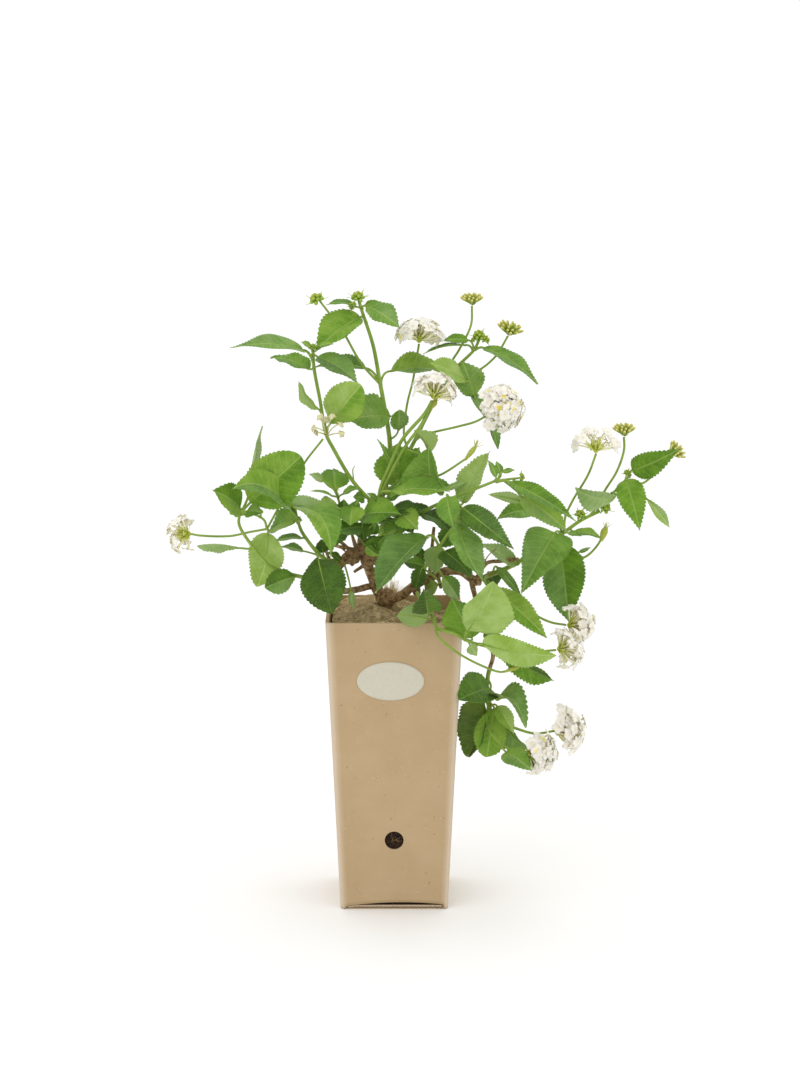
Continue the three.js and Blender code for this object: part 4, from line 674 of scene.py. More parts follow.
class Skins:
    """Closed skins gathered into one mesh. A skin is rows of rings of points, joined into a tube
    whose two ends are fanned to the middles of the end rings, or joined to each other where
    looped."""

    def __init__(self):
        self.points, self.triangles, self.traits, self.count = [], [], {}, 0

    def add(self, rings, looped=False, **traits):
        """Adds one skin (rows, columns, 3) or several alike (number, rows, columns, 3). A trait
        is a value, or an array that broadcasts over number, rows and columns."""
        rings = rings if rings.ndim == 4 else rings[None]
        number, rows, columns, _ = rings.shape
        grid = np.arange(rows * columns).reshape(rows, columns)
        lower = grid if looped else grid[:-1]
        upper = np.roll(grid, -1, axis=0) if looped else grid[1:]
        corners = [lower, upper, np.roll(upper, -1, axis=1), np.roll(lower, -1, axis=1)]
        a, b, c, d = (corner.ravel() for corner in corners)
        triangles = [np.stack([a, b, c], 1), np.stack([a, c, d], 1)]
        points = rings.reshape(number, -1, 3)
        if not looped:
            first, last = rows * columns, rows * columns + 1
            start, end = grid[0], grid[-1]
            triangles.append(np.stack([start, np.roll(start, -1), np.full(columns, first)], 1))
            triangles.append(np.stack([np.roll(end, -1), end, np.full(columns, last)], 1))
            points = np.concatenate([points, rings[:, [0, -1]].mean(axis=2)], axis=1)
        triangles = np.concatenate(triangles)
        corners = points[:, triangles]
        normals = np.cross(corners[:, :, 1], corners[:, :, 2])
        volumes = np.einsum("nti,nti->n", corners[:, :, 0], normals)
        faces = np.where((volumes < 0)[:, None, None], triangles[:, ::-1], triangles)
        faces = faces + self.count + points.shape[1] * np.arange(number)[:, None, None]
        self.points.append(points.reshape(-1, 3))
        self.triangles.append(faces.reshape(-1, 3))
        self.count += number * points.shape[1]
        for name, value in traits.items():
            spread = np.broadcast_to(value, (number, rows, columns)).reshape(number, -1)
            if not looped:
                ends = np.broadcast_to(value, (number, rows, columns))[:, [0, -1]].mean(axis=2)
                spread = np.concatenate([spread, ends], axis=1)
            self.traits.setdefault(name, []).append(spread.ravel())

    def piece(self, name, maker):
        """The skins as one object at the origin, in metres, smoothly shaded, with its traits."""
        points = np.concatenate(self.points) * MM
        triangles = np.concatenate(self.triangles)
        mesh = bpy.data.meshes.new(name)
        mesh.vertices.add(len(points))
        mesh.vertices.foreach_set("co", points.astype(np.float32).ravel())
        mesh.loops.add(triangles.size)
        mesh.loops.foreach_set("vertex_index", triangles.astype(np.int32).ravel())
        mesh.polygons.add(len(triangles))
        mesh.polygons.foreach_set("loop_start", np.arange(0, triangles.size, 3, dtype=np.int32))
        mesh.update(calc_edges=True)
        for trait, values in self.traits.items():
            attribute = mesh.attributes.new(trait, "FLOAT", "POINT")
            attribute.data.foreach_set("value", np.concatenate(values).astype(np.float32))
        mesh.shade_smooth()
        mesh.materials.append(finish_of(maker))
        obj = bpy.data.objects.new(name, mesh)
        bpy.context.scene.collection.objects.link(obj)
        return obj


def settle(obj, slot, *nodes):
    """The piece rides on the root and stands for its CAD nodes; the slot it is given is not used.
    """
    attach(obj, "root")
    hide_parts(*nodes)


# ---- materials -----------------------------------------------------------------------------------

BLEND = {"data_type": "RGBA", "output": 2}              # a Mix node of two colours, inputs 6 and 7
EASED = {"interpolation_type": "SMOOTHSTEP"}            # a Map Range node from 1, 2 to 3, 4


def add_node(tree, kind, inputs=None, output=0, to=None, stops=(), **settings):
    """Adds a shader node with its settings and returns one of its outputs. An input is a value, a
    hex colour, or the output that is linked to it. The output also goes to the input of the
    shader that to names. Stops are the positions and colours of a ramp, which starts with two."""
    node = tree.nodes.new("ShaderNode" + kind)
    for name, value in settings.items():
        setattr(node, name, value)
    for index, (position, colour) in enumerate(stops):
        elements = node.color_ramp.elements
        element = elements[index] if index < 2 else elements.new(position)
        element.position = position
        element.color = linear(colour) if isinstance(colour, str) else colour
    for key, value in (inputs or {}).items():
        if isinstance(value, bpy.types.NodeSocket):
            tree.links.new(value, node.inputs[key])
        else:
            node.inputs[key].default_value = linear(value) if isinstance(value, str) else value
    if to:
        tree.links.new(node.outputs[output], tree.nodes["Principled BSDF"].inputs[to])
    return node.outputs[output]


def new_material(name, roughness, specular, others=None):
    """A material whose shader's plain sockets are set, the function that adds nodes to it, and
    its Object coordinates."""
    material = bpy.data.materials.new(name)
    material.use_nodes = True
    sockets = {"Roughness": roughness, "Specular IOR Level": specular, **(others or {})}
    for key, value in sockets.items():
        material.node_tree.nodes["Principled BSDF"].inputs[key].default_value = value
    add = functools.partial(add_node, material.node_tree)
    return material, add, add("TexCoord", output="Object")


def patches(add, base, colour, pattern, low, high, most=1.0, to=None):
    """Patches of a colour over a base: eased from none of it where the pattern is at low, to most
    of it where it is at high."""
    share = add("MapRange", {0: pattern, 1: low, 2: high, 4: most}, **EASED)
    return add("Mix", {0: share, 6: base, 7: colour}, to=to, **BLEND)


def per_mm(millimetres):
    """The scale of a pattern on Object coordinates whose cells are so many millimetres across."""
    return 1 / (millimetres * MM)


def kraft_board(colours):
    """Unbleached kraft liner of corrugated board, calendered but not coated: a matt warm beige with
    sparse pale and dark wood fibres in it. It carries a painted highlight along the rounded score
    lines and on the paper of the cut edges, and painted shade on the cut edges and in the voids of
    the flutes."""
    material, add, where = new_material("kraft_board", 0.82, 0.25)
    cloud = add("TexNoise", {"Vector": where, "Scale": per_mm(26), "Detail": 4.0})
    base = patches(add, colours.kraft, "#A98F69", cloud, 0.3, 0.7, 0.35)
    pale, dark = ((0.6, 0.6, 1.4), 1.4, 0.68, "#CDB992"), ((1, 1, 0.7), 2.2, 0.71, "#80684A")
    for lie, long, rare, colour in (pale, dark):
        stretched = add("Mapping", {"Vector": where, "Scale": lie})
        fibre = add("TexNoise", {"Vector": stretched, "Scale": per_mm(long), "Detail": 2.0})
        base = patches(add, base, colour, fibre, rare, rare + 0.06, 0.8)
    # Painted highlight: paler along the rounded corners and on the paper layers of the cut edge.
    crease = add("Attribute", output="Fac", attribute_name="crease")
    share = add("Math", {0: crease, 1: 0.75}, operation="MULTIPLY")
    base = add("Mix", {0: share, 6: base, 7: colours.crease}, **BLEND)
    # Painted shade: darker on the cut edges and on the sheet that stands in the voids of the
    # flutes.
    cut = add("Attribute", output="Fac", attribute_name="cut")
    add("Mix", {0: cut, 6: base, 7: "#8E7755"}, to="Base Color", **BLEND)
    felt = add("TexNoise", {"Vector": where, "Scale": per_mm(0.7), "Detail": 3.0})
    add("Bump", {"Height": felt, "Strength": 0.6, "Distance": 0.05 * MM}, to="Normal")
    return material


def uncoated_paper(colours):
    """Uncoated label paper: smooth and off-white, and faintly cloudy where the fibres lie."""
    material, add, where = new_material("uncoated_paper", 0.6, 0.3)
    cloud = add("TexNoise", {"Vector": where, "Scale": per_mm(3.5), "Detail": 4.0})
    patches(add, colours.paper, "#A8A28E", cloud, 0.35, 0.65, 0.1, to="Base Color")
    felt = add("TexNoise", {"Vector": where, "Scale": per_mm(0.5), "Detail": 3.0})
    add("Bump", {"Height": felt, "Strength": 0.5, "Distance": 0.02 * MM}, to="Normal")
    return material


def potting_soil(colours):
    """Moist peat: nearly black brown crumbs, and thin tan roots where the trait says so."""
    material, add, where = new_material("potting_soil", 0.9, 0.2)
    crumbs = add("TexNoise", {
        "Vector": where, "Scale": per_mm(1.8), "Detail": 5.0, "Roughness": 0.65})
    base = patches(add, colours.soil, "#3E2D20", crumbs, 0.4, 0.7)
    root = add("Attribute", output="Fac", attribute_name="root")
    add("Mix", {0: root, 6: base, 7: "#8C6E48"}, to="Base Color", **BLEND)
    add("Bump", {"Height": crumbs, "Strength": 1.0, "Distance": 0.6 * MM}, to="Normal")
    return material


def coir_fibre(colours):
    """Coir, the husk fibre of coconuts: stiff dull strands from brown to straw, loosely matted."""
    material, add, where = new_material("coir_fibre", 0.85, 0.25)
    patch = add("TexNoise", {"Vector": where, "Scale": per_mm(9), "Detail": 4.0})
    shift = add("MapRange", {0: patch, 1: 0.3, 2: 0.7, 3: -0.25, 4: 0.25}, **EASED)
    strand = add("Attribute", output="Fac", attribute_name="strand")
    shade = add("Math", {0: strand, 1: shift}, operation="ADD")
    patches(add, colours.coir_dark, colours.coir_light, shade, 0.1, 0.9, to="Base Color")
    fuzz = add("TexNoise", {"Vector": where, "Scale": per_mm(0.8), "Detail": 4.0})
    add("Bump", {"Height": fuzz, "Strength": 1.0, "Distance": 0.3 * MM}, to="Normal")
    return material


def old_bark(colours):
    """Thin bark of an old woody stem: grey-brown and cracked, with pale patches of painted
    highlight.
    """
    material, add, where = new_material("old_bark", 0.9, 0.2)
    cracks = add("TexNoise", {
        "Vector": where, "Scale": per_mm(2.4), "Detail": 6.0, "Roughness": 0.7})
    base = patches(add, "#5C4529", colours.bark, cracks, 0.35, 0.62)
    # Pale patches of painted highlight.
    highlight_patch = add("TexNoise", {"Vector": where, "Scale": per_mm(5), "Detail": 3.0})
    patches(add, base, "#C4AA8C", highlight_patch, 0.5, 0.72, 0.7, to="Base Color")
    add("Bump", {"Height": cracks, "Strength": 1.0, "Distance": 0.7 * MM}, to="Normal")
    return material


def green_stem(colours):
    """A young square stem with short pale hairs: yellow-green, dark in patches, brown where old."""
    material, add, where = new_material("green_stem", 0.55, 0.25, {
        "Sheen Weight": 0.1, "Sheen Roughness": 0.5, "Sheen Tint": linear("#D9E6B0")})
    hairs = add("TexNoise", {"Vector": where, "Scale": per_mm(0.6), "Detail": 3.0})
    base = patches(add, colours.stem, "#AFC36C", hairs, 0.4, 0.7, 0.4)
    patch = add("TexNoise", {"Vector": where, "Scale": per_mm(14), "Detail": 2.0})
    base = patches(add, base, "#5F7F22", patch, 0.35, 0.7, 0.45)
    age = add("Attribute", output="Fac", attribute_name="age")
    add("Mix", {0: age, 6: base, 7: "#8A6A40"}, to="Base Color", **BLEND)
    add("Bump", {"Height": hairs, "Strength": 1.0, "Distance": 0.12 * MM}, to="Normal")
    return material


def leaf_blade(colours):
    """A rough, hairy lantana leaf: quilted between sunken, slightly paler side veins, glossy only
    at a glance, and with a paler, duller underside. The cool trait paints a reflection of the sky
    over it, and the light trait paints shade and light into its own tone."""
    material, add, where = new_material("leaf_blade", 0.5, 0.14, {
        "Sheen Weight": 0.04, "Sheen Roughness": 0.45})
    light, cool, under, vein, middle = (
        add("Attribute", output="Fac", attribute_name=trait)
        for trait in ("light", "cool", "under", "vein", "middle"))
    patch = add("TexNoise", {"Vector": where, "Scale": per_mm(11), "Detail": 3.0})
    shift = add("MapRange", {0: patch, 1: 0.3, 2: 0.7, 3: -0.1, 4: 0.1}, **EASED)
    shade = add("Math", {0: light, 1: shift}, operation="ADD")
    # The first ramp gives the leaves' own greens, into which the light trait paints shade and
    # light; the second is a painted reflection of the sky, mixed in by the cool trait.
    sunny = [(0, colours.leaf_dark), (0.3, "#48700F"), (0.52, colours.leaf_mid),
             (0.76, "#89A93C"), (1, colours.leaf_pale)]
    shady = [(0, "#335424"), (0.5, colours.leaf_cool), (1, "#A8BC88")]
    greens = [add("ValToRGB", {"Fac": shade}, stops=stops) for stops in (sunny, shady)]
    share = add("Math", {0: cool, 1: 0.8}, operation="MULTIPLY")
    base = add("Mix", {0: share, 6: greens[0], 7: greens[1]}, **BLEND)

    net = add("TexVoronoi", {"Vector": where, "Scale": per_mm(1.5)}, output="Distance",
              feature="DISTANCE_TO_EDGE")
    cells = add("MapRange", {0: net, 1: 0.0, 2: 0.28}, **EASED)
    share = add("MapRange", {0: cells, 3: 0.16, 4: 0.0}, **EASED)
    base = add("Mix", {0: share, 6: base, 7: "#93B356"}, **BLEND)

    fraction = add("Math", {0: vein}, operation="FRACT")
    offset = add("Math", {0: fraction, 1: 0.5}, operation="SUBTRACT")
    near = add("Math", {0: offset}, operation="ABSOLUTE")
    side_vein = add("MapRange", {0: near, 1: 0.38, 2: 0.49, 4: 0.42}, **EASED)
    rib = add("MapRange", {0: middle, 1: 0.25, 2: 0.85, 3: 1.0, 4: 0.0}, **EASED)
    veins = add("Math", {0: side_vein, 1: rib}, operation="MAXIMUM")
    strength = add("Math", {0: light, 1: 0.6, 2: 0.08}, operation="MULTIPLY_ADD")
    share = add("Math", {0: veins, 1: strength}, operation="MULTIPLY")
    base = add("Mix", {0: share, 6: base, 7: "#B4CB78"}, **BLEND)

    share = add("Math", {0: under, 1: 0.6}, operation="MULTIPLY")
    add("Mix", {0: share, 6: base, 7: "#A5BC74"}, to="Base Color", **BLEND)
    add("MapRange", {0: under, 3: 0.48, 4: 0.75}, to="Roughness", **EASED)
    sunk = add("Math", {0: veins, 1: 1.5}, operation="MULTIPLY")
    bulge = add("Math", {0: cells, 1: sunk}, operation="SUBTRACT")
    add("Bump", {"Height": bulge, "Strength": 0.7, "Distance": 0.2 * MM}, to="Normal")
    return material


def white_petal(colours):
    """Thin satin petals that let light through: white, blushing or creamy as they age, with a
    yellow eye round the throat, on cream tubes and yellow-green calyces. The backs of the limbs are
    tinted towards the tubes' cream and blushed a little more: painted warm shade."""
    material, add, where = new_material("white_petal", 0.6, 0.3, {
        "Sheen Weight": 0.1, "Subsurface Weight": 0.4, "Subsurface Scale": 1.6 * MM,
        "Subsurface Radius": (1.0, 1.0, 0.85)})
    base = colours.petal
    for trait, colour in (("blush", colours.blush), ("tube", "#F1EAB8"),
                          ("green", colours.calyx), ("eye", colours.eye)):
        share = add("Attribute", output="Fac", attribute_name=trait)
        base = add("Mix", {0: share, 6: base, 7: colour}, **BLEND)
    veil = add("TexNoise", {"Vector": where, "Scale": per_mm(1.6), "Detail": 2.0})
    patches(add, base, "#DFD9BC", veil, 0.4, 0.7, 0.1, to="Base Color")
    crimp = add("TexNoise", {"Vector": where, "Scale": per_mm(0.9), "Detail": 2.0})
    add("Bump", {"Height": crimp, "Strength": 1.0, "Distance": 0.08 * MM}, to="Normal")
    return material


def closed_bud(colours):
    """Waxy, finely haired buds: green at the foot, then olive and yellow, with cream-pink tips."""
    material, add, where = new_material("closed_bud", 0.55, 0.3)
    green = add("Attribute", output="Fac", attribute_name="green")
    along = add("ValToRGB", {"Fac": green}, stops=[
        (0, "#F0E4D0"), (0.35, colours.bud), (0.7, "#A9AE48"), (1, "#7E9A2A")])
    leafy = add("Attribute", output="Fac", attribute_name="leafy")
    base = add("Mix", {0: leafy, 6: along, 7: "#8DB13C"}, **BLEND)
    tint = add("TexNoise", {"Vector": where, "Scale": per_mm(1.8), "Detail": 2.0})
    patches(add, base, "#BFAE4A", tint, 0.4, 0.7, 0.25, to="Base Color")
    hairs = add("TexNoise", {"Vector": where, "Scale": per_mm(0.7), "Detail": 2.0})
    add("Bump", {"Height": hairs, "Strength": 1.0, "Distance": 0.08 * MM}, to="Normal")
    return material


def withered_petal(colours):
    """Dry, limp petals: straw-coloured and thin, browning at their curled tips."""
    material, add, where = new_material("withered_petal", 0.7, 0.2)
    patch = add("TexNoise", {"Vector": where, "Scale": per_mm(2.5), "Detail": 3.0})
    base = patches(add, colours.withered, "#9A7350", patch, 0.55, 0.75, 0.6)
    green = add("Attribute", output="Fac", attribute_name="green")
    add("Mix", {0: green, 6: base, 7: "#A9AE52"}, to="Base Color", **BLEND)
    crimp = add("TexNoise", {"Vector": where, "Scale": per_mm(0.8), "Detail": 3.0})
    add("Bump", {"Height": crimp, "Strength": 1.0, "Distance": 0.12 * MM}, to="Normal")
    return material


def studio_floor(colours):
    """A matt painted backdrop: plain and pale, with the faintest grain."""
    material, add, where = new_material("studio_floor", 0.9, 0.1)
    grain = add("TexNoise", {"Vector": where, "Scale": per_mm(60), "Detail": 2.0})
    patches(add, "#FCFCFB", "#F8F8F7", grain, 0.3, 0.7, 0.2, to="Base Color")
    return material


def finish_of(maker):
    """The material that a maker makes, made once."""
    found = bpy.data.materials.get(maker.__name__)
    return found or maker(bpy.context.scene.lantana_colours)


# ---- the pot -------------------------------------------------------------------------------------


def pot_width(height):
    """Outside width of the pot at a height: it widens evenly from foot to rim."""
    return POT_FOOT + (POT_TOP - POT_FOOT) * height / POT_HEIGHT


def rounded_square(radius_share, per_side=28, per_corner=7):
    """Points round a unit square whose corners are quarter circles, anticlockwise from the left
    end of its front side, and how far each is into a corner: 1 in the middle of its arc and 0 at
    its ends."""
    inner = 0.5 - radius_share
    arc = np.linspace(0, np.pi / 2, per_corner)
    run = np.linspace(-inner, inner, per_side + 2)[1:-1]
    points, bends = [], []
    for quarter in range(4):
        turn = quarter * np.pi / 2
        spin = np.array([[math.cos(turn), math.sin(turn)], [-math.sin(turn), math.cos(turn)]])
        side = np.stack([run, np.full(per_side, -0.5)], 1)
        corner = np.stack([inner + radius_share * np.sin(arc),
                           -inner - radius_share * np.cos(arc)], 1)
        points.append(np.concatenate([side, corner]) @ spin)
        bends.append(np.r_[np.zeros(per_side), np.sin(2 * arc) * 0.6 + 0.4])
    return np.concatenate(points), np.concatenate(bends)


def panel_bow(points, share):
    """How far the panels bulge at points of the unit square: a parabola from corner to corner,
    times a half sine wave from foot to rim."""
    flat = (1 - (2 * np.abs(points).min(axis=-1)) ** 2).clip(0)
    return PANEL_BOW * flat * np.sin(np.pi * share)


def front_edge_height(across, front):
    """Height of the front panel's lower edge: a parabola that arches between the two front
    corners, and falls to the table close to them."""
    half, left, middle, right = 36, 2.4, 7.8, 3.9
    share = ((across + half) / (2 * half)).clip(0, 1)
    arch = left * (1 - share) ** 2 + 2 * middle * share * (1 - share) + right * share ** 2
    inside = ((across + 37) * (37.6 - across) / 60).clip(0, 1)
    return np.where(front, arch * inside, 0)


def build_sleeve():
    """The board sleeve: a looped skin up the outside, over the rim and down the inside. A point
    is the rounded square times the pot's width at its height, less the wall inside."""
    square, bends = rounded_square(CORNER / POT_FOOT)
    shares = np.r_[0, 0.012, 0.03, np.linspace(0.06, 1, 30)]
    front_row = -0.47                                   # points of the unit square before this
    foot = front_edge_height(square[:, 0] * POT_FOOT, square[:, 1] < front_row)
    heights = foot + (POT_HEIGHT - foot) * shares[:, None]
    outer = square * pot_width(heights)[..., None]
    outer *= 1 + (2 * panel_bow(square, shares[:, None]) / POT_TOP)[..., None]
    outside = np.concatenate([outer, heights[..., None]], axis=2)
    inner = square * (pot_width(heights) - 2 * WALL)[..., None]
    inside = np.concatenate([inner, heights[..., None]], axis=2)
    rings = np.concatenate([outside, inside[::-1]])
    # The corners carry a painted highlight.
    crease = np.concatenate([np.broadcast_to(bends, outer.shape[:2]), np.zeros(inner.shape[:2])])
    # The board's foot edges carry painted shade.
    cut = np.zeros(len(rings))
    cut[[0, -1]] = 0.5
    skins = Skins()
    skins.add(rings, looped=True, crease=crease, cut=cut[:, None])
    sleeve = skins.piece("pot_sleeve_board", kraft_board)
    punch_hole(sleeve)
    settle(sleeve, "cardboard", "pot_sleeve")


def punch_hole(sleeve):
    """Cuts the round hole: a cylinder along Y through the front panel is taken out of the
    sleeve."""
    before, behind = POT_TOP / 2 + 4, POT_FOOT / 2 - 9
    path = np.array([[0, -before, HOLE_HEIGHT], [0, -behind, HOLE_HEIGHT]])
    skins = Skins()
    # The hole's wall takes the painted shade of a cut edge.
    skins.add(tube(path, HOLE_RADIUS, sides=48), crease=0.0, cut=1.0)
    cutter = skins.piece("hole_cutter", kraft_board)
    modifier = sleeve.modifiers.new("hole", "BOOLEAN")
    modifier.operation, modifier.object, modifier.solver = "DIFFERENCE", cutter, "EXACT"
    evaluated = sleeve.evaluated_get(bpy.context.evaluated_depsgraph_get())
    cut_mesh = bpy.data.meshes.new_from_object(evaluated)
    whole_mesh = sleeve.data
    sleeve.modifiers.clear()
    sleeve.data = cut_mesh
    cut_mesh.name = "pot_sleeve_board"
    bpy.data.meshes.remove(whole_mesh)
    bpy.data.objects.remove(cutter)
    cut_mesh.set_sharp_from_angle(angle=BOARD_BEND)


def slab(points, low, high):
    """Rings of a flat slab with that outline: out at the bottom, up its slightly eased rim, and
    in at the top."""
    ease = 0.05
    middle = points.mean(axis=0)
    shares = np.array([0.5, 0.995, 1, 1, 0.995, 0.5])[:, None, None]
    heights = np.array([low, low, low + ease, high - ease, high, high])[:, None, None]
    flat = middle + (points - middle) * shares
    return np.concatenate([flat, np.broadcast_to(heights, (*flat.shape[:2], 1))], axis=2)


def strip(across, low, high, front, back):
    """Rings of a strip that runs across the pot: at each step the four corners of a rectangle
    between two heights and two depths."""
    corners = ((front, low), (back, low), (back, high), (front, high))
    return np.stack([np.stack(np.broadcast_arrays(across, *corner), 1) for corner in corners], 1)


def build_bottom():
    """The folded bottom: a slab inside the sleeve, and below the arch of the front panel the cut
    edge of the board, which is two flat liners with a sine wave of paper between them. The liners
    and the wave carry a painted highlight, and a dark sheet set back behind them paints the shade
    in the flutes' voids."""
    square, _ = rounded_square(CORNER / POT_FOOT, per_side=8, per_corner=4)
    fit, below, depth, shaded = 0.6, 0.4, 8, 3
    inside = square * (pot_width(0) - 2 * WALL - fit)
    skins = Skins()
    skins.add(slab(inside, TOUCH, FLAP), crease=0.0, cut=0.0)
    across = np.linspace(*LIP, 280)
    top = np.minimum(FLAP, front_edge_height(across, True) - below)
    front, back = -POT_FOOT / 2 + LIP_INSET, -POT_FOOT / 2 + depth
    # The liners here and the wave below carry a painted highlight.
    skins.add(strip(across, 0, LINER, front, back), crease=0.5, cut=0.0)
    skins.add(strip(across, top - 2 * LINER, top, front, back), crease=0.5, cut=0.0)
    # A dark sheet set back in the voids of the flutes: painted shade.
    skins.add(strip(across, TOUCH, top - TOUCH, front + shaded, back), crease=0.0, cut=1.0)
    share = 0.5 + 0.5 * np.sin(2 * np.pi * across / FLUTE)
    wave = LINER + (top - 3 * LINER) * share
    skins.add(strip(across, wave - WAVE / 2, wave + WAVE / 2, front + 0.1, back),
              crease=0.6, cut=0.0)
    bottom = skins.piece("pot_bottom_board", kraft_board)
    bottom.data.set_sharp_from_angle(angle=BOARD_BEND)
    settle(bottom, "cardboard", "pot_bottom")


def build_label():
    """The bare oval label: an ellipse's rim swept from back to front on the sloping front panel,
    its front edge turned in a little, and bowed as the panel is."""
    slope = math.atan((POT_TOP - POT_FOOT) / 2 / POT_HEIGHT)
    angles, clearance = circle(96), 0.12
    shares = np.array([0.3, 0.7, 1, 1, 0.994, 0.9, 0.6, 0.3])
    lifts = np.array([0, 0, 0, 0.7, 1, 1, 1, 1]) * LABEL_THICK
    across = shares[:, None] * np.cos(angles) * LABEL_WIDE / 2
    up = shares[:, None] * np.sin(angles) * LABEL_TALL / 2
    height = LABEL_AT[1] + up * math.cos(slope)
    x = LABEL_AT[0] + across
    half = pot_width(height) / 2
    bow = PANEL_BOW * (1 - (x / half) ** 2) * np.sin(np.pi * height / POT_HEIGHT)
    y = -half - bow - lifts[:, None] - clearance
    skins = Skins()
    skins.add(np.stack([x, y, height], axis=2))
    label = skins.piece("pot_label_paper", uncoated_paper)
    settle(label, "label_paper", "pot_label")


def build_soil():
    """The root ball keeps its CAD solid with a soil finish; crumbs and roots fill the hole's
    mouth: a lumpy disc, and short thin roots scattered over it along parabolas."""
    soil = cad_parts["root_ball"]
    for slot in soil.material_slots:
        slot.material = finish_of(potting_soil)
    front = -pot_width(HOLE_HEIGHT) / 2
    angles, radius = circle(40), HOLE_RADIUS - 0.05
    rows = 4
    shares = np.r_[np.linspace(0.15, 1, rows), np.linspace(1, 0.08, 10)]
    depth = np.where(np.arange(len(shares)) < rows, 2.4, 1.5)
    across = shares[:, None] * np.cos(angles) * radius
    up = shares[:, None] * np.sin(angles) * radius
    y = front + depth[:, None] + 0 * across
    rings = np.stack([across, y, HOLE_HEIGHT + up], axis=2)
    face = rings[rows:]
    face[..., 1] += 0.5 * lumps(face, 3.1, 5) + 0.25 * lumps(face, 1.3, 6)
    skins = Skins()
    skins.add(rings, root=0.0)
    chance = np.random.default_rng(4)
    t = np.linspace(-1, 1, 9)[:, None]
    for _ in range(7):
        spot, bearing = chance.uniform(-4.2, 4.2, 2), chance.uniform(0, np.pi)
        run = np.array([math.cos(bearing), math.sin(bearing)]) * chance.uniform(2.6, 4.4)
        sag = run[::-1] * [-1, 1] * chance.uniform(-0.12, 0.12)
        flat = spot * 0.6 + run * t + sag * t ** 2
        inwards = front + 0.5 + 1.6 * t[:, 0] ** 2
        path = np.stack([flat[:, 0], inwards, HOLE_HEIGHT + flat[:, 1]], 1)
        skins.add(tube(path, chance.uniform(0.08, 0.16), sides=6), root=chance.uniform(0.3, 1))
    crumbs = skins.piece("soil_crumbs", potting_soil)
    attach(crumbs, "root")


# ---- the fibre mat -------------------------------------------------------------------------------


def mat_height(x, y):
    """Height of the mat: bell curves mound it round the stem and along the back left wall, and
    sink it in the back right corner and close round the trunk."""
    mound = 10 * np.exp(-((x + 16) ** 2 + (y + 2) ** 2) / 500)
    bank = 8 * np.exp(-((x + 14) / 30) ** 2 - ((y - 36) / 22) ** 2)
    dip = 8 * np.exp(-((x - 40) ** 2 + (y - 34) ** 2) / 420)
    hollow = 5 * np.exp(-((x + 1) ** 2 + (y - 4) ** 2) / 60)
    swell = 0.9 * np.sin(0.35 * x + 1) * np.cos(0.31 * y)
    return MAT_EDGE + 1.5 + mound + bank - dip - hollow + swell


def build_mat():
    """The mat is a lumpy bed, a square's outline drawn in to its middle at the bed's height,
    under thousands of loose strands: thin three-sided tubes along arcs that follow the bed's
    height."""
    half = (pot_width(SOIL_TOP) - 2 * WALL - 2.0) / 2
    angles = circle(96)
    edge = half / np.maximum(np.abs(np.cos(angles)), np.abs(np.sin(angles)))
    shares = np.r_[0.4, 1, 1, np.linspace(0.99, 0.03, 34)]
    x, y = shares[:, None] * edge * np.cos(angles), shares[:, None] * edge * np.sin(angles)
    level = np.stack([x, y, 0 * x], 2)
    bed = mat_height(x, y)
    bed += 1.1 * lumps(level, 9, 1) + 0.6 * lumps(level, 4, 2)
    bed[:2] = SOIL_TOP + 0.4
    skins = Skins()
    skins.add(np.stack([x, y, bed], 2), strand=0.35 + 0.3 * lumps(level, 2.4, 4))

    sizes = bpy.context.scene.lantana_sizes
    chance = np.random.default_rng(11)
    number = sizes.strands
    start = chance.uniform(-half + 1, half - 1, (number, 2))
    heading = chance.uniform(0, 2 * np.pi, number)
    bend = chance.normal(0, 0.06, number)
    length = chance.uniform(8, 30, number)
    steps = np.linspace(-0.5, 0.5, 7)
    run = steps * length[:, None]
    course = heading[:, None] + bend[:, None] * run
    limit = half - 0.6
    sx = np.clip(start[:, :1] + run * np.cos(course), -limit, limit)
    sy = np.clip(start[:, 1:] + run * np.sin(course), -limit, limit)
    lie, arch = chance.uniform(0.1, 1.1, number), chance.uniform(0, 1.0, number)
    lift = lie[:, None] + arch[:, None] * (np.cos(np.pi * steps) - 0.5)
    sz = mat_height(sx, sy) + lift + 0.8 * np.sin(sx * 0.7 + sy * 0.9)
    path = np.stack([sx, sy, sz], axis=2)
    path += chance.normal(0, 0.12, path.shape)
    radius = sizes.strand_radius / MM * chance.uniform(0.6, 1.6, number)
    thinned = radius[:, None] * (1 - 0.5 * np.abs(2 * steps) ** 3)
    shade = chance.uniform(0, 1, number)[:, None, None]
    skins.add(tube(path, thinned, sides=3), strand=shade)
    add_tuft(skins, chance)
    settle(skins.piece("fibre_mat_coir", coir_fibre), "coir", "fibre_mat")


def add_tuft(skins, chance):
    """A pale tuft of fibre that stands up behind the stem: strands that fan out of one spot."""
    foot = place((391, 603, 12))
    number, thick = 170, 0.24
    lean = chance.normal(0, 1, (number, 3)) * [0.32, 0.3, 0.12] + [0.0, 0.2, 1]
    steps = np.linspace(0, 1, 7)[:, None]
    length = chance.uniform(8, 20, (number, 1, 1))
    sag = np.array([0.25, 0.1, -0.25]) * steps ** 2 * length * chance.uniform(-1, 1, (number, 1, 1))
    path = foot + chance.normal(0, 1.6, (number, 1, 3)) + unit(lean)[:, None] * steps * length + sag
    shade = chance.uniform(0.8, 1.2, number)[:, None, None]
    skins.add(tube(path, thick * (1 - 0.6 * steps[:, 0]), sides=3), strand=shade)


# ---- the wood ------------------------------------------------------------------------------------


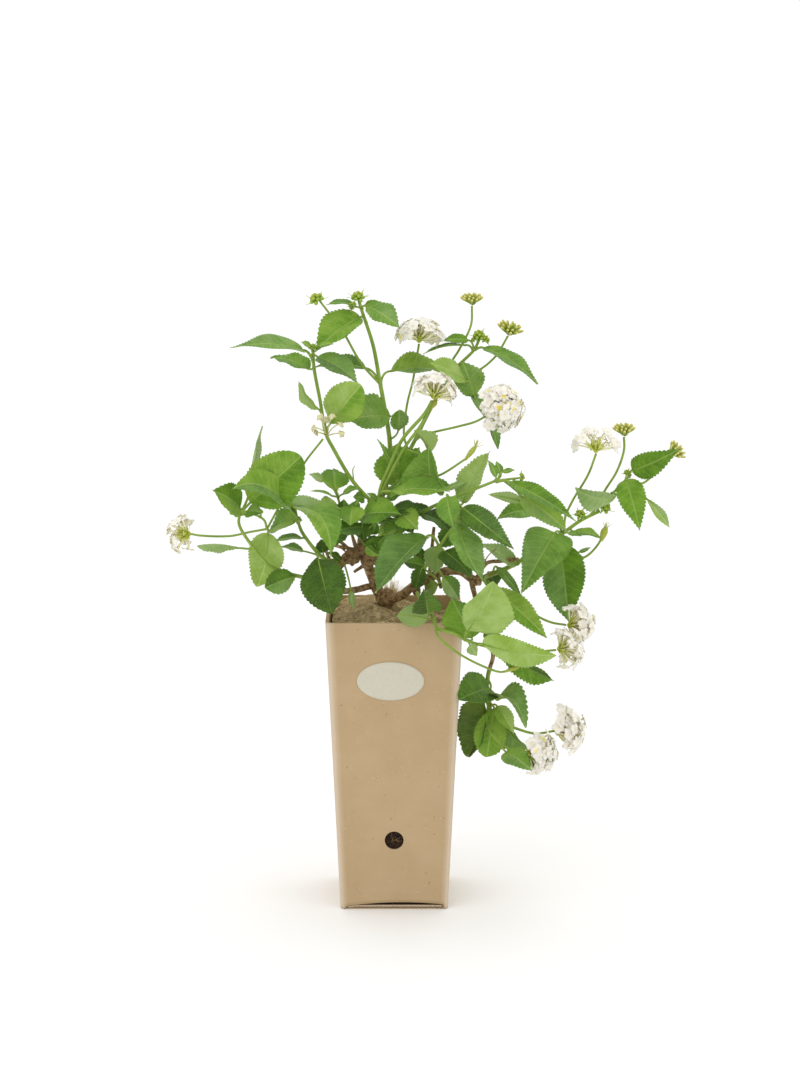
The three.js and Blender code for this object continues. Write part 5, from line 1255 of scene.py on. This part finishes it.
def burl(centre, radius, seed):
    """A knobbly lump: a sphere's rings, its radius changed by noise on its own surface."""
    polar, level = np.linspace(0.08, np.pi - 0.08, 18)[:, None], circle(26)
    ball = np.stack([np.sin(polar) * np.cos(level), np.sin(polar) * np.sin(level),
                     np.cos(polar) + 0 * level], axis=2)
    swell = 1 + 0.16 * lumps(ball, 1.3, seed) + 0.09 * lumps(ball, 0.6, seed + 1)
    return centre + ball * radius * 0.92 * swell[..., None]


def rough_limb(points, start, end, seed, sides=14):
    """A woody limb: a tube whose radius thins evenly and is changed by noise of two sizes."""
    path = smooth_path(points, 7)
    radii = np.linspace(start, end, len(path))
    rings = tube(path, radii, sides)
    swell = 0.11 * lumps(rings, 9, seed) + 0.07 * lumps(rings, 3.2, seed + 1)
    return path[:, None] + (rings - path[:, None]) * (1 + swell[..., None])


def build_wood():
    """The old stems: rough limbs, burls, and cut stubs, with more of them scattered over the
    first three burls."""
    skins = Skins()
    for seed, (points, start, end) in enumerate(WOOD + TWIGS):
        skins.add(rough_limb(place(points), start, end, 20 + seed))
    for seed, (centre, radius) in enumerate(BURLS):
        skins.add(burl(place(centre), radius, 40 + seed))
    for seed, points in enumerate(STUBS):
        skins.add(rough_limb(place(points), 1.7, 1.1, 60 + seed, sides=8))
    chance = np.random.default_rng(7)
    for seed in range(34):
        centre, radius = BURLS[seed % 2] if seed % 6 else BURLS[2]
        out = unit(chance.normal(0, 1, 3) * [1, 1, 0.9])
        root = place(centre) + out * radius * 0.7
        reach = out * chance.uniform(2.5, 6.5) + chance.normal(0, 1, 3)
        thick = chance.uniform(0.6, 1.5)
        points = np.array([root, root + 0.6 * reach, root + reach])
        skins.add(rough_limb(points, thick, thick * 0.75, 80 + seed, sides=7))
    settle(skins.piece("old_woody_stems", old_bark), "bark", "woody_stems")


# ---- leaves --------------------------------------------------------------------------------------

ACROSS = np.array([-1, -0.95, -0.78, -0.56, -0.34, -0.14, 0, 0.14, 0.34, 0.56, 0.78, 0.95, 1])
TOOTH_STEPS = np.array([0, 0.35, 0.68, 0.9])        # places along one tooth
TOOTH_RISE = np.array([0, 0.62, 1, 0.8])            # and how far it stands out there
ARCH = 0.07                 # rise of a midrib as a part of its length
FOLD = 0.24                 # slope of each half of a leaf
PEAK = 0.7                  # power that sets the widest place of a leaf
POINT = 1.22                # power that draws out its tip
ROUND_FOOT = 0.72           # and the one that rounds its foot
LONG_LEAF = 48              # a leaf this long has its side veins at the full pitch
WIDE_LEAF = 22              # and one this wide is quilted in full
RIPPLE = 0.035              # how far a leaf's edge ripples, as a part of its width


def leaf_frame(base, tip, turn):
    """A leaf's directions: along its midrib, towards its right edge, and out of its upper face,
    which at turn 0 looks at the station and turns right-handed round the midrib."""
    along = unit(tip - base)
    side = unit(np.cross(along, STATION - base))
    face, angle = np.cross(side, along), math.radians(turn)
    return along, turned_about(side, along, angle), turned_about(face, along, angle)


def outline(share, peak, point):
    """Half the width of a leaf along its length, of a full half width: sin(pi s^peak) to a power
    that goes from that of a round foot to point at the tip."""
    return np.sin(np.pi * share ** peak) ** (ROUND_FOOT + (point - ROUND_FOOT) * share)


def midrib(base, tip, over, face, shares):
    """The parabola from foot to tip through a point above their middle."""
    middle = (base + tip) / 2 + face * ARCH * np.linalg.norm(tip - base) if over is None else over
    return parabola(base, 2 * middle - (base + tip) / 2, tip, shares[:, None])


def add_leaf(blades, stalks, row, chance):
    """One leaf. Its blade is a skin over (along, across): the midrib's parabola, plus the half
    width times the outline and teeth sideways, plus upwards the fold, the quilting between side
    veins 0.5 - 0.5 cos(2 pi vein), a groove over the midrib and a ripple at the edge."""
    joint, base, tip = (place(point) for point in row[:3])
    wide, turn, tones, *shapes = row[3:]
    shape = shapes[0] if shapes else {}
    over = place(shape["over"]) if "over" in shape else None
    along, side, face = leaf_frame(base, tip, turn)
    length = np.linalg.norm(tip - base)
    sizes = bpy.context.scene.lantana_sizes
    teeth = max(4, round(length / (sizes.tooth_pitch / MM)))
    shares = np.r_[((np.arange(teeth)[:, None] + TOOTH_STEPS) / teeth).ravel(), 0.999]
    shares[0] = 1 / teeth / 16
    rib = midrib(base, tip, over, face, shares)
    tangents = unit(np.gradient(rib, axis=0))
    up = unit(np.cross(side, tangents))
    peaks = np.where(ACROSS < 0, *np.broadcast_to(shape.get("peak", PEAK), 2))
    half = 0.5 * wide * outline(shares[:, None], peaks, shape.get("point", POINT))
    bite = np.r_[np.tile(TOOTH_RISE, teeth), 0] * min(sizes.tooth_size / MM, 0.06 * wide)
    bite *= np.clip((shares - 0.06) * 9, 0, 1) * np.clip((1 - shares) * 7, 0, 1)
    reach = half * ACROSS + (bite[:, None] * np.sign(ACROSS)) * np.abs(ACROSS) ** 8
    middle = np.abs(reach)
    pitch = max(sizes.vein_pitch / MM * min(1, length / LONG_LEAF), 1.6)
    run = shares[:, None] * length
    wander = lumps(np.stack([reach, run + 0 * reach, 0 * reach], 2), 14, len(tones))
    vein = (run - 0.55 * middle - 0.012 * middle ** 2) / pitch + 0.16 * wander
    bulge = (0.5 - 0.5 * np.cos(2 * np.pi * vein)) * (1 - ACROSS ** 6) * np.clip(middle / 2, 0, 1)
    groove = -0.5 * np.exp(-middle ** 2)
    quilt = sizes.quilting / MM * min(1, wide / WIDE_LEAF) * (bulge + groove)
    fold = shape.get("fold", FOLD) * (np.sqrt(middle ** 2 + 1) - 1)
    phase = shares[:, None] * chance.uniform(1.6, 2.6) + chance.uniform(0, 1)
    phase = phase + 0.3 * np.sign(ACROSS)
    ripple = RIPPLE * wide * np.abs(ACROSS) ** 3 * np.sin(2 * np.pi * phase)
    lift = fold + quilt + ripple
    surface = rib[:, None] + side * reach[..., None] + up[:, None] * lift[..., None]
    thick = up[:, None] * sizes.leaf_thickness / MM / 2
    rings = np.concatenate([surface + thick, (surface - thick)[:, ::-1]], axis=1)
    both = np.r_[np.arange(len(ACROSS)), np.arange(len(ACROSS))[::-1]]
    under = np.r_[np.zeros(len(ACROSS)), np.ones(len(ACROSS))]
    # The light trait is the leaf's own tone with painted shade and light in it.
    lights, cools = np.array([TONES[tone] for tone in tones.split("/")]).T
    right = np.clip(ACROSS[both] * 5 + 0.5, 0, 1)
    light = lights[0] + (lights[1] - lights[0]) * right + chance.normal(0, 0.04)
    light = light + 0.1 * (0.4 - shares[:, None])
    # The cool trait is a painted reflection of the sky, stronger towards the tip.
    cool = (cools[0] + (cools[1] - cools[0]) * right) * np.clip(0.25 + 1.8 * shares[:, None], 0, 1)
    blades.add(rings, light=light, cool=cool, under=under, vein=vein[:, both],
               middle=middle[:, both])
    add_stalk(stalks, joint, base, along, rib, up, length)


def add_stalk(stalks, joint, base, along, rib, up, length):
    """A leaf's stalk: a parabola from the joint into the foot of the blade, then a rib that thins
    under the blade along its midrib."""
    bend = base - along * 0.45 * np.linalg.norm(base - joint)
    path = parabola(joint, bend, base + along * 0.6, np.linspace(0, 1, 9)[:, None])
    thick, thin = 0.55 + 0.006 * length, 0.12
    stalks.add(tube(path, np.linspace(thick * 1.15, thick, 9)), age=0.0)
    keep = np.linspace(0, len(rib) - 4, 12).astype(int)
    under = rib[keep] - up[keep] * 0.35
    stalks.add(tube(under, np.linspace(thick, thin, 12), sides=6), age=0.0)


# ---- buds, florets and heads ---------------------------------------------------------------------


def dome_directions(axis, number, spread):
    """Directions spread evenly over a cap round an axis by the golden angle: the height falls
    evenly from 1 to the cosine of the spread."""
    first, second = square_to(axis)
    index = np.arange(number)
    height = 1 - (index + 0.5) / number * (1 - math.cos(spread))
    angle = index * np.pi * (3 - math.sqrt(5))
    flat = np.sqrt(1 - height ** 2)
    return height[:, None] * axis + flat[:, None] * spokes(angle, first, second)


def spindle(root, direction, length, radius, rows=7, sides=7):
    """A closed bud: rings along a line whose radius is that of a club, thickest at three
    quarters, and how far along it each ring is, from 0 to 1."""
    s = np.sin(np.linspace(0.02, 1, rows) * np.pi / 2)
    profile = radius * (0.42 + 0.58 * s) * np.sqrt(np.maximum(1 - s ** 7, 0.02))
    path = root + direction * length * s[:, None]
    return tube(path, profile, sides), s


def bract(root, direction, length, wide, droop=0.25):
    """A narrow pointed bract: flat rings along a line that bends back, widest at its middle
    third."""
    s = np.linspace(0.02, 0.99, 7)
    bend = unit(np.cross(np.cross(direction, [0.3, -0.2, 1.0]), direction))
    path = root + direction * length * s[:, None] + bend * droop * length * s[:, None] ** 2
    rings = tube(path, 1.0, sides=6)
    middle = path[:, None]
    width = wide * np.sin(np.pi * (0.15 + 0.85 * s)) ** 0.8 + 0.05
    flat = unit(np.cross(direction, bend))
    offset = rings - middle
    across = (offset @ flat)[..., None] * flat
    return middle + across * width[:, None, None] + (offset - across) * 0.16


def add_green_head(skins, centre, faces, radius, bracts):
    """A head of closed green buds: spindles out of a dome, and narrow bracts that spread round
    it."""
    axis = unit(faces)
    centre = place(centre)
    for index, direction in enumerate(dome_directions(axis, 13, math.radians(105))):
        foot = centre + direction * radius * 0.2
        rings, s = spindle(foot, direction, radius * 0.95, radius * 0.4)
        skins.add(rings, green=0.7, leafy=0.9 - 0.5 * (index < 4) * s[:, None])
    for direction in dome_directions(axis, bracts + 5, math.radians(115))[5:]:
        skins.add(bract(centre, direction, radius * 1.9, 0.55), green=0.7, leafy=1.0)


def add_spent_head(skins, root, tip, radius):
    """A spent head: a club-shaped stalk end set with small scars, and curved prongs at its
    top."""
    root, tip = place(root), place(tip)
    axis = unit(tip - root)
    length = np.linalg.norm(tip - root)
    s = np.linspace(0, 1, 12)
    club = radius * (0.55 + 0.6 * np.sin(np.pi * s ** 1.4))
    rings = tube(root + (tip - root) * s[:, None], club, 10)
    outwards = unit(rings - rings.mean(axis=1, keepdims=True))
    skins.add(rings + 0.16 * outwards * lumps(rings, 1.4, 3)[..., None], green=0.75, leafy=0.15)
    for direction in dome_directions(axis, 6, math.radians(60)):
        skins.add(bract(tip - axis * 0.8, direction, 0.45 * length, 0.4), green=0.6, leafy=0.1)


LIMB_SHARES = np.array([0.2, 0.65, 1.0, 0.98, 0.64, 0.46, 0.32, 0.12])
LIMB_FRONT = np.array([0, 0, 0.4, 1, 1, 1, 1, 1])      # 0 on the back of a limb and 1 on its face


def floret_limb(mouth, out, radius, lobes, chance):
    """The flat of a floret, a skin over (radius, angle): r(a) falls to a notch between lobes as 1
    - 0.4 (1 - |cos(lobes a / 2)|)^1.5, and it is cupped and rippled towards its rim."""
    first, second = square_to(out)
    angles = circle(20)
    lean = chance.uniform(0, 2 * np.pi)
    lobe = 1 - 0.4 * (1 - np.abs(np.cos(lobes * (angles - lean) / 2))) ** 1.5
    lobe *= 1 + 0.16 * np.cos(angles - chance.uniform(0, 2 * np.pi))
    shares = LIMB_SHARES
    reach = shares[:, None] * lobe * radius
    cup = chance.uniform(-0.34, 0.1) * shares ** 2
    ripple = 0.1 * np.cos(2 * lobes * (angles - lean) + chance.uniform(0, 6)) * shares[:, None] ** 2
    throat = 0.2 - 0.15 * np.exp(-((shares / 0.2) ** 2))
    lift = (cup * radius + throat * LIMB_FRONT)[:, None] + ripple * radius
    return mouth + spokes(angles, first, second) * reach[..., None] + out * lift[..., None]


def add_floret(skins, centre, mouth, out, radius, age, eye, chance):
    """A floret: a thin curved tube from the head's foot to the mouth, and its lobed limb, whose
    eye is as yellow as it says, from 0 to 1."""
    lobes = 5 if chance.uniform() >= 1 - FIVE_LOBED else 4
    rings = floret_limb(mouth, out, radius, lobes, chance)
    glow = eye * np.clip((0.56 - LIMB_SHARES) / 0.14, 0, 1) * LIMB_FRONT
    # The cream and the extra blush on the back of each limb are painted warm shade.
    tint = np.clip(0.05 + 0.55 * age + chance.normal(0, 0.15) + 0.15 * (1 - LIMB_FRONT), 0, 1)
    skins.add(rings, blush=tint[:, None], eye=glow[:, None], green=0.0,
              tube=0.4 * (1 - LIMB_FRONT[:, None]))
    t = np.linspace(0, 1, 6)[:, None]
    start = centre + unit(mouth - centre) * 0.6
    bend = mouth - out * 0.45 * np.linalg.norm(mouth - start)
    throat = tube(parabola(start, bend, mouth, t), np.linspace(0.45, 0.9, 6), sides=6)
    skins.add(throat, blush=0.0, eye=0.0, tube=0.6, green=np.clip(0.7 - 2.4 * t, 0, 1))


def add_calyces(skins, foot, axis, size, spread, chance):
    """The green middle of a head: closed calyces, as spindles out of one foot, and narrow
    bracts."""
    for direction in dome_directions(axis, 26, math.radians(spread)):
        direction = unit(direction + chance.normal(0, 0.08, 3))
        rings, s = spindle(foot, direction, size * chance.uniform(7, 11), 0.95)
        skins.add(rings, blush=0.0, eye=0.0, tube=0.6, green=np.clip(1.5 - 0.8 * s[:, None], 0, 1))
    for direction in dome_directions(axis, 17, math.radians(spread + 22))[8:]:
        skins.add(bract(foot, direction, 6.5 * size, 0.7), blush=0.0, eye=0.0, tube=0.0, green=1.0)


def build_open_head(name, head):
    """An open flower head: florets over a flattened dome, the oldest at its rim and none where
    they have dropped, round a green middle of calyces."""
    sizes = bpy.context.scene.lantana_sizes
    chance = np.random.default_rng(sum(map(ord, name)))
    axis = unit(head["faces"])
    foot = place(head["seat"]) + axis * FOOT_RISE
    size = min(1.0, head["wide"] / 14)
    centre = foot + axis * (CORE_RISE - FOOT_RISE) * size
    bare = unit(head.get("bare", (0, 0, -1)))
    number = head["florets"]
    spread = math.radians(head.get("spread", FULL_SPREAD))
    skins = Skins()
    for index, direction in enumerate(dome_directions(axis, number, spread)):
        direction = unit(direction + chance.normal(0, 0.1, 3))
        up = direction @ axis
        reach = (direction - up * axis) * (head["wide"] - 1.8) + axis * up * (head["tall"] - 0.6)
        mouth = centre + reach * chance.uniform(0.8, 1.08)
        out = unit(reach) + 0.35 * axis + chance.normal(0, 0.2, 3) - [0, head.get("turned", 0), 0]
        radius = sizes.floret_radius / MM * (0.9 + 0.2 * index / number) * min(1, 0.5 + 0.5 * size)
        if direction @ bare < head.get("opening", 1.1):
            age = np.clip(index / number * 0.8 + head.get("age", 0), 0, 1)
            eye = BRIGHT_EYE if chance.uniform() < head.get("eyes", 0) else DULL_EYE
            add_floret(skins, foot, mouth, unit(out), radius, age, eye, chance)
    add_calyces(skins, foot - axis * 0.8, axis, size, 55, chance)
    s = np.linspace(0, 1, 8)
    thick = (0.8 + 1.3 * np.sin(np.pi * s ** 0.8)) * size
    core = tube(foot + axis * (s[:, None] * 4.4 * size - 1.8), thick, 12)
    skins.add(core, blush=0.0, eye=0.0, tube=0.0, green=1.0)
    piece = skins.piece(name + "_florets", white_petal)
    settle(piece, "petal_white", name)


def build_bud_head(name, head):
    """A head of cream buds about to open: club-shaped buds that lean out over a shallow dome,
    above narrow green bracts."""
    axis = unit(head["faces"])
    seat = place(head["seat"])
    skins = Skins()
    centre = seat + axis * 0.8
    for direction in dome_directions(axis, 20, math.radians(76)):
        up = direction @ axis
        reach = (direction - up * axis) * (head["wide"] + 1.6)
        reach = reach + axis * (up * 2.2 + head["tall"] + 1.8)
        length = np.linalg.norm(reach)
        rings, s = spindle(centre, reach / length, length, 1.4, rows=9, sides=8)
        skins.add(rings, green=np.clip(2.5 - 2.2 * s[:, None], 0, 1), leafy=0.0)
    for direction in dome_directions(axis, 14, math.radians(85))[5:]:
        skins.add(bract(seat, direction, 5.2, 0.55, droop=0.5), green=0.8, leafy=0.6)
    piece = skins.piece(name + "_buds", closed_bud)
    settle(piece, "petal_cream", name)


def build_withered_head():
    """The withered head: limp florets hang round the stalk, each a thin tube that ends in a
    crumpled, curled limb, with a few bare green pedicels."""
    seat = place(WITHERED_SEAT)
    chance = np.random.default_rng(3)
    skins = Skins()
    for tip in WITHERED_TIPS:
        end = place(tip)
        out = unit(end - seat)
        t = np.linspace(0, 1, 8)[:, None]
        sag = chance.normal(0, 1.0, 3) * [1, 1, 0.4] + [0, 0, 1.2]
        path = seat + (end - seat) * t + sag * (t * (1 - t) * 4)
        skins.add(tube(path, np.linspace(0.4, 0.55, 8), sides=6), green=np.clip(0.8 - t, 0, 1))
        rings = floret_limb(end, unit(out + chance.normal(0, 0.5, 3)), 3.0, 4, chance)
        shares = LIMB_SHARES[:, None, None]
        crumple = 0.7 * lumps(rings, 3.0, 9)[..., None] * shares * out
        skins.add(rings - out * 1.6 * shares ** 2 + crumple, green=0.0)
    for direction in dome_directions(np.array([0, -0.3, 1.0]), 9, math.radians(80)):
        skins.add(bract(seat, direction, 5.5, 0.4), green=0.9)
    piece = skins.piece("withered_florets", withered_petal)
    settle(piece, "withered", "withered_head")


# ---- shoots --------------------------------------------------------------------------------------


def build_shoot(name):
    """One shoot as two or three pieces: its blades, its green stems and stalks, and its small
    heads."""
    chance = np.random.default_rng(sum(map(ord, name)))
    blades, stalks, heads = Skins(), Skins(), Skins()
    for points, start, end in STEMS[name]:
        path = smooth_path(place(points), 8)
        radii = np.linspace(start, end, len(path))
        age = np.clip(np.linspace(0.9, -1.6, len(path)), 0, 1) * (start > WOODY)
        stalks.add(tube(path, radii, sides=12, squareness=0.07), age=age[:, None])
    for row in LEAVES[name]:
        add_leaf(blades, stalks, row, chance)
        knuckle = place(row[0]) + np.array([[0, 0, -0.9], [0, 0, 0], [0, 0, 0.9]])
        stalks.add(tube(knuckle, [0.9, 1.5, 0.9]), age=0.15)
    settle(blades.piece(name + "_leaves", leaf_blade), "leaf_green", name)
    settle(stalks.piece(name + "_stems", green_stem), "leaf_green", name)
    for head in GREEN_HEADS.get(name, []):
        add_green_head(heads, *head)
    for head in SPENT_HEADS.get(name, []):
        add_spent_head(heads, *head)
    if heads.count:
        settle(heads.piece(name + "_buds", closed_bud), "leaf_green", name)


# ---- stage ---------------------------------------------------------------------------------------


def build_stage():
    """A pale floor that curves up behind, as a quarter circle and then a parabola, three soft
    area lights and the camera at the station."""
    near, bend, radius, half = -2600, 1400, 900, 3200
    s = np.linspace(0, 1, 60)
    turn = (s - 0.5) * np.pi
    run = np.where(s < 0.5, near + 2 * s * (bend - near), bend + radius * np.sin(turn))
    rise = np.where(s < 0.5, 0, radius * (1 - np.cos(turn)) + 2400 * (s - 0.5) ** 2)
    across = np.linspace(-half, half, 3)
    grid = np.stack(np.broadcast_arrays(across, run[:, None], rise[:, None]), axis=2) * MM
    index = np.arange(len(s) * len(across)).reshape(-1, len(across))
    faces = np.stack([index[:-1, :-1], index[:-1, 1:], index[1:, 1:], index[1:, :-1]], axis=2)
    mesh = bpy.data.meshes.new("studio_backdrop")
    mesh.from_pydata(grid.reshape(-1, 3).tolist(), [], faces.reshape(-1, 4).tolist())
    mesh.shade_smooth()
    mesh.materials.append(finish_of(studio_floor))
    backdrop = bpy.data.objects.new("studio_backdrop", mesh)
    bpy.context.scene.collection.objects.link(backdrop)

    world = bpy.data.worlds.new("studio_air")
    world.use_nodes = True
    background = world.node_tree.nodes["Background"]
    background.inputs["Color"].default_value = linear("#FFFFFF")
    background.inputs["Strength"].default_value = 1.0
    bpy.context.scene.world = world
    bpy.context.scene.view_settings.view_transform = "Standard"
    add_area_light("key_softbox", (-0.9, -1.3, 1.7), 1.3, 5)
    add_area_light("fill_softbox", (1.4, -0.9, 0.9), 1.2, 1.5)
    add_area_light("top_softbox", (0.1, 0.5, 2.0), 1.4, 4)

    camera = bpy.data.cameras.new("station")
    camera.sensor_fit = "VERTICAL"
    camera.sensor_height = FILM_TALL
    camera.lens = FILM_TALL * SHEET_DISTANCE / SHEET_TALL
    camera.clip_end = 50
    viewer = bpy.data.objects.new("station", camera)
    viewer.location = STATION * MM
    viewer.rotation_euler = (math.pi / 2 - SHEET_TILT, 0, 0)
    bpy.context.scene.collection.objects.link(viewer)
    bpy.context.scene.camera = viewer


def add_area_light(name, spot, size, watts):
    """A square softbox that looks at the middle of the plant."""
    light = bpy.data.lights.new(name, "AREA")
    light.size, light.energy = size, watts
    lamp = bpy.data.objects.new(name, light)
    lamp.location = spot
    aim = np.array([0.0, 0.0, 0.25]) - np.array(spot)
    tilt, bearing = math.acos(-aim[2] / np.linalg.norm(aim)), math.atan2(aim[0], -aim[1])
    lamp.rotation_euler = (tilt, 0, bearing + math.pi)
    bpy.context.scene.collection.objects.link(lamp)


# ---- operators, panel and main -------------------------------------------------------------------


class LANTANA_OT_pot(bpy.types.Operator):
    """Builds the folded board sleeve with its round hole, and the folded bottom"""

    bl_idname = "lantana.pot"
    bl_label = "Board pot"

    def execute(self, context):
        build_sleeve()
        build_bottom()
        return {"FINISHED"}


class LANTANA_OT_label(bpy.types.Operator):
    """Builds the bare oval label on the front panel"""

    bl_idname = "lantana.label"
    bl_label = "Label"

    def execute(self, context):
        build_label()
        return {"FINISHED"}


class LANTANA_OT_soil(bpy.types.Operator):
    """Gives the root ball its finish and fills the mouth of the hole with crumbs and roots"""

    bl_idname = "lantana.soil"
    bl_label = "Soil"

    def execute(self, context):
        build_soil()
        return {"FINISHED"}


class LANTANA_OT_mat(bpy.types.Operator):
    """Builds the mat of loose coir strands on the soil"""

    bl_idname = "lantana.mat"
    bl_label = "Fibre mat"

    def execute(self, context):
        build_mat()
        return {"FINISHED"}


class LANTANA_OT_wood(bpy.types.Operator):
    """Builds the old woody stems with their burls and stubs"""

    bl_idname = "lantana.wood"
    bl_label = "Old wood"

    def execute(self, context):
        build_wood()
        return {"FINISHED"}


class LANTANA_OT_shoots(bpy.types.Operator):
    """Builds the leafy shoots with their green and spent heads"""

    bl_idname = "lantana.shoots"
    bl_label = "Leafy shoots"

    def execute(self, context):
        for name in STEMS:
            build_shoot(name)
        return {"FINISHED"}


class LANTANA_OT_blooms(bpy.types.Operator):
    """Builds the open flower heads"""

    bl_idname = "lantana.blooms"
    bl_label = "Open flower heads"

    def execute(self, context):
        for name, head in BLOOMS.items():
            build_open_head(name, head)
        return {"FINISHED"}


class LANTANA_OT_buds(bpy.types.Operator):
    """Builds the heads of cream buds that are about to open"""

    bl_idname = "lantana.buds"
    bl_label = "Opening buds"

    def execute(self, context):
        for name, head in BUD_HEADS.items():
            build_bud_head(name, head)
        return {"FINISHED"}


class LANTANA_OT_withered(bpy.types.Operator):
    """Builds the withered head"""

    bl_idname = "lantana.withered"
    bl_label = "Withered head"

    def execute(self, context):
        build_withered_head()
        return {"FINISHED"}


class LANTANA_OT_stage(bpy.types.Operator):
    """Sets up the pale floor, the soft lights and the camera"""

    bl_idname = "lantana.stage"
    bl_label = "Stage"

    def execute(self, context):
        build_stage()
        return {"FINISHED"}


class LANTANA_PT_panel(bpy.types.Panel):
    """Lists the lantana's operators, sizes and colours"""

    bl_idname = "LANTANA_PT_panel"
    bl_label = "Lantana"
    bl_space_type = "VIEW_3D"
    bl_region_type = "UI"
    bl_category = "Lantana"

    def draw(self, context):
        for operator in OPERATORS:
            self.layout.operator(operator.bl_idname)
        for group in (context.scene.lantana_sizes, context.scene.lantana_colours):
            column = self.layout.column()
            for name in group.__annotations__:
                column.prop(group, name)


OPERATORS = (LANTANA_OT_pot, LANTANA_OT_label, LANTANA_OT_soil, LANTANA_OT_mat, LANTANA_OT_wood,
             LANTANA_OT_shoots, LANTANA_OT_blooms, LANTANA_OT_buds, LANTANA_OT_withered,
             LANTANA_OT_stage)
CLASSES = (LantanaSizes, LantanaColours, *OPERATORS, LANTANA_PT_panel)


def register():
    for each in CLASSES:
        bpy.utils.register_class(each)
    bpy.types.Scene.lantana_sizes = bpy.props.PointerProperty(type=LantanaSizes)
    bpy.types.Scene.lantana_colours = bpy.props.PointerProperty(type=LantanaColours)


def unregister():
    del bpy.types.Scene.lantana_colours
    del bpy.types.Scene.lantana_sizes
    for each in reversed(CLASSES):
        bpy.utils.unregister_class(each)


def main():
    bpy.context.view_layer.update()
    register()
    bpy.ops.lantana.pot()
    bpy.ops.lantana.label()
    bpy.ops.lantana.soil()
    bpy.ops.lantana.mat()
    bpy.ops.lantana.wood()
    bpy.ops.lantana.shoots()
    bpy.ops.lantana.blooms()
    bpy.ops.lantana.buds()
    bpy.ops.lantana.withered()
    bpy.ops.lantana.stage()


if __name__ == "__main__":
    main()
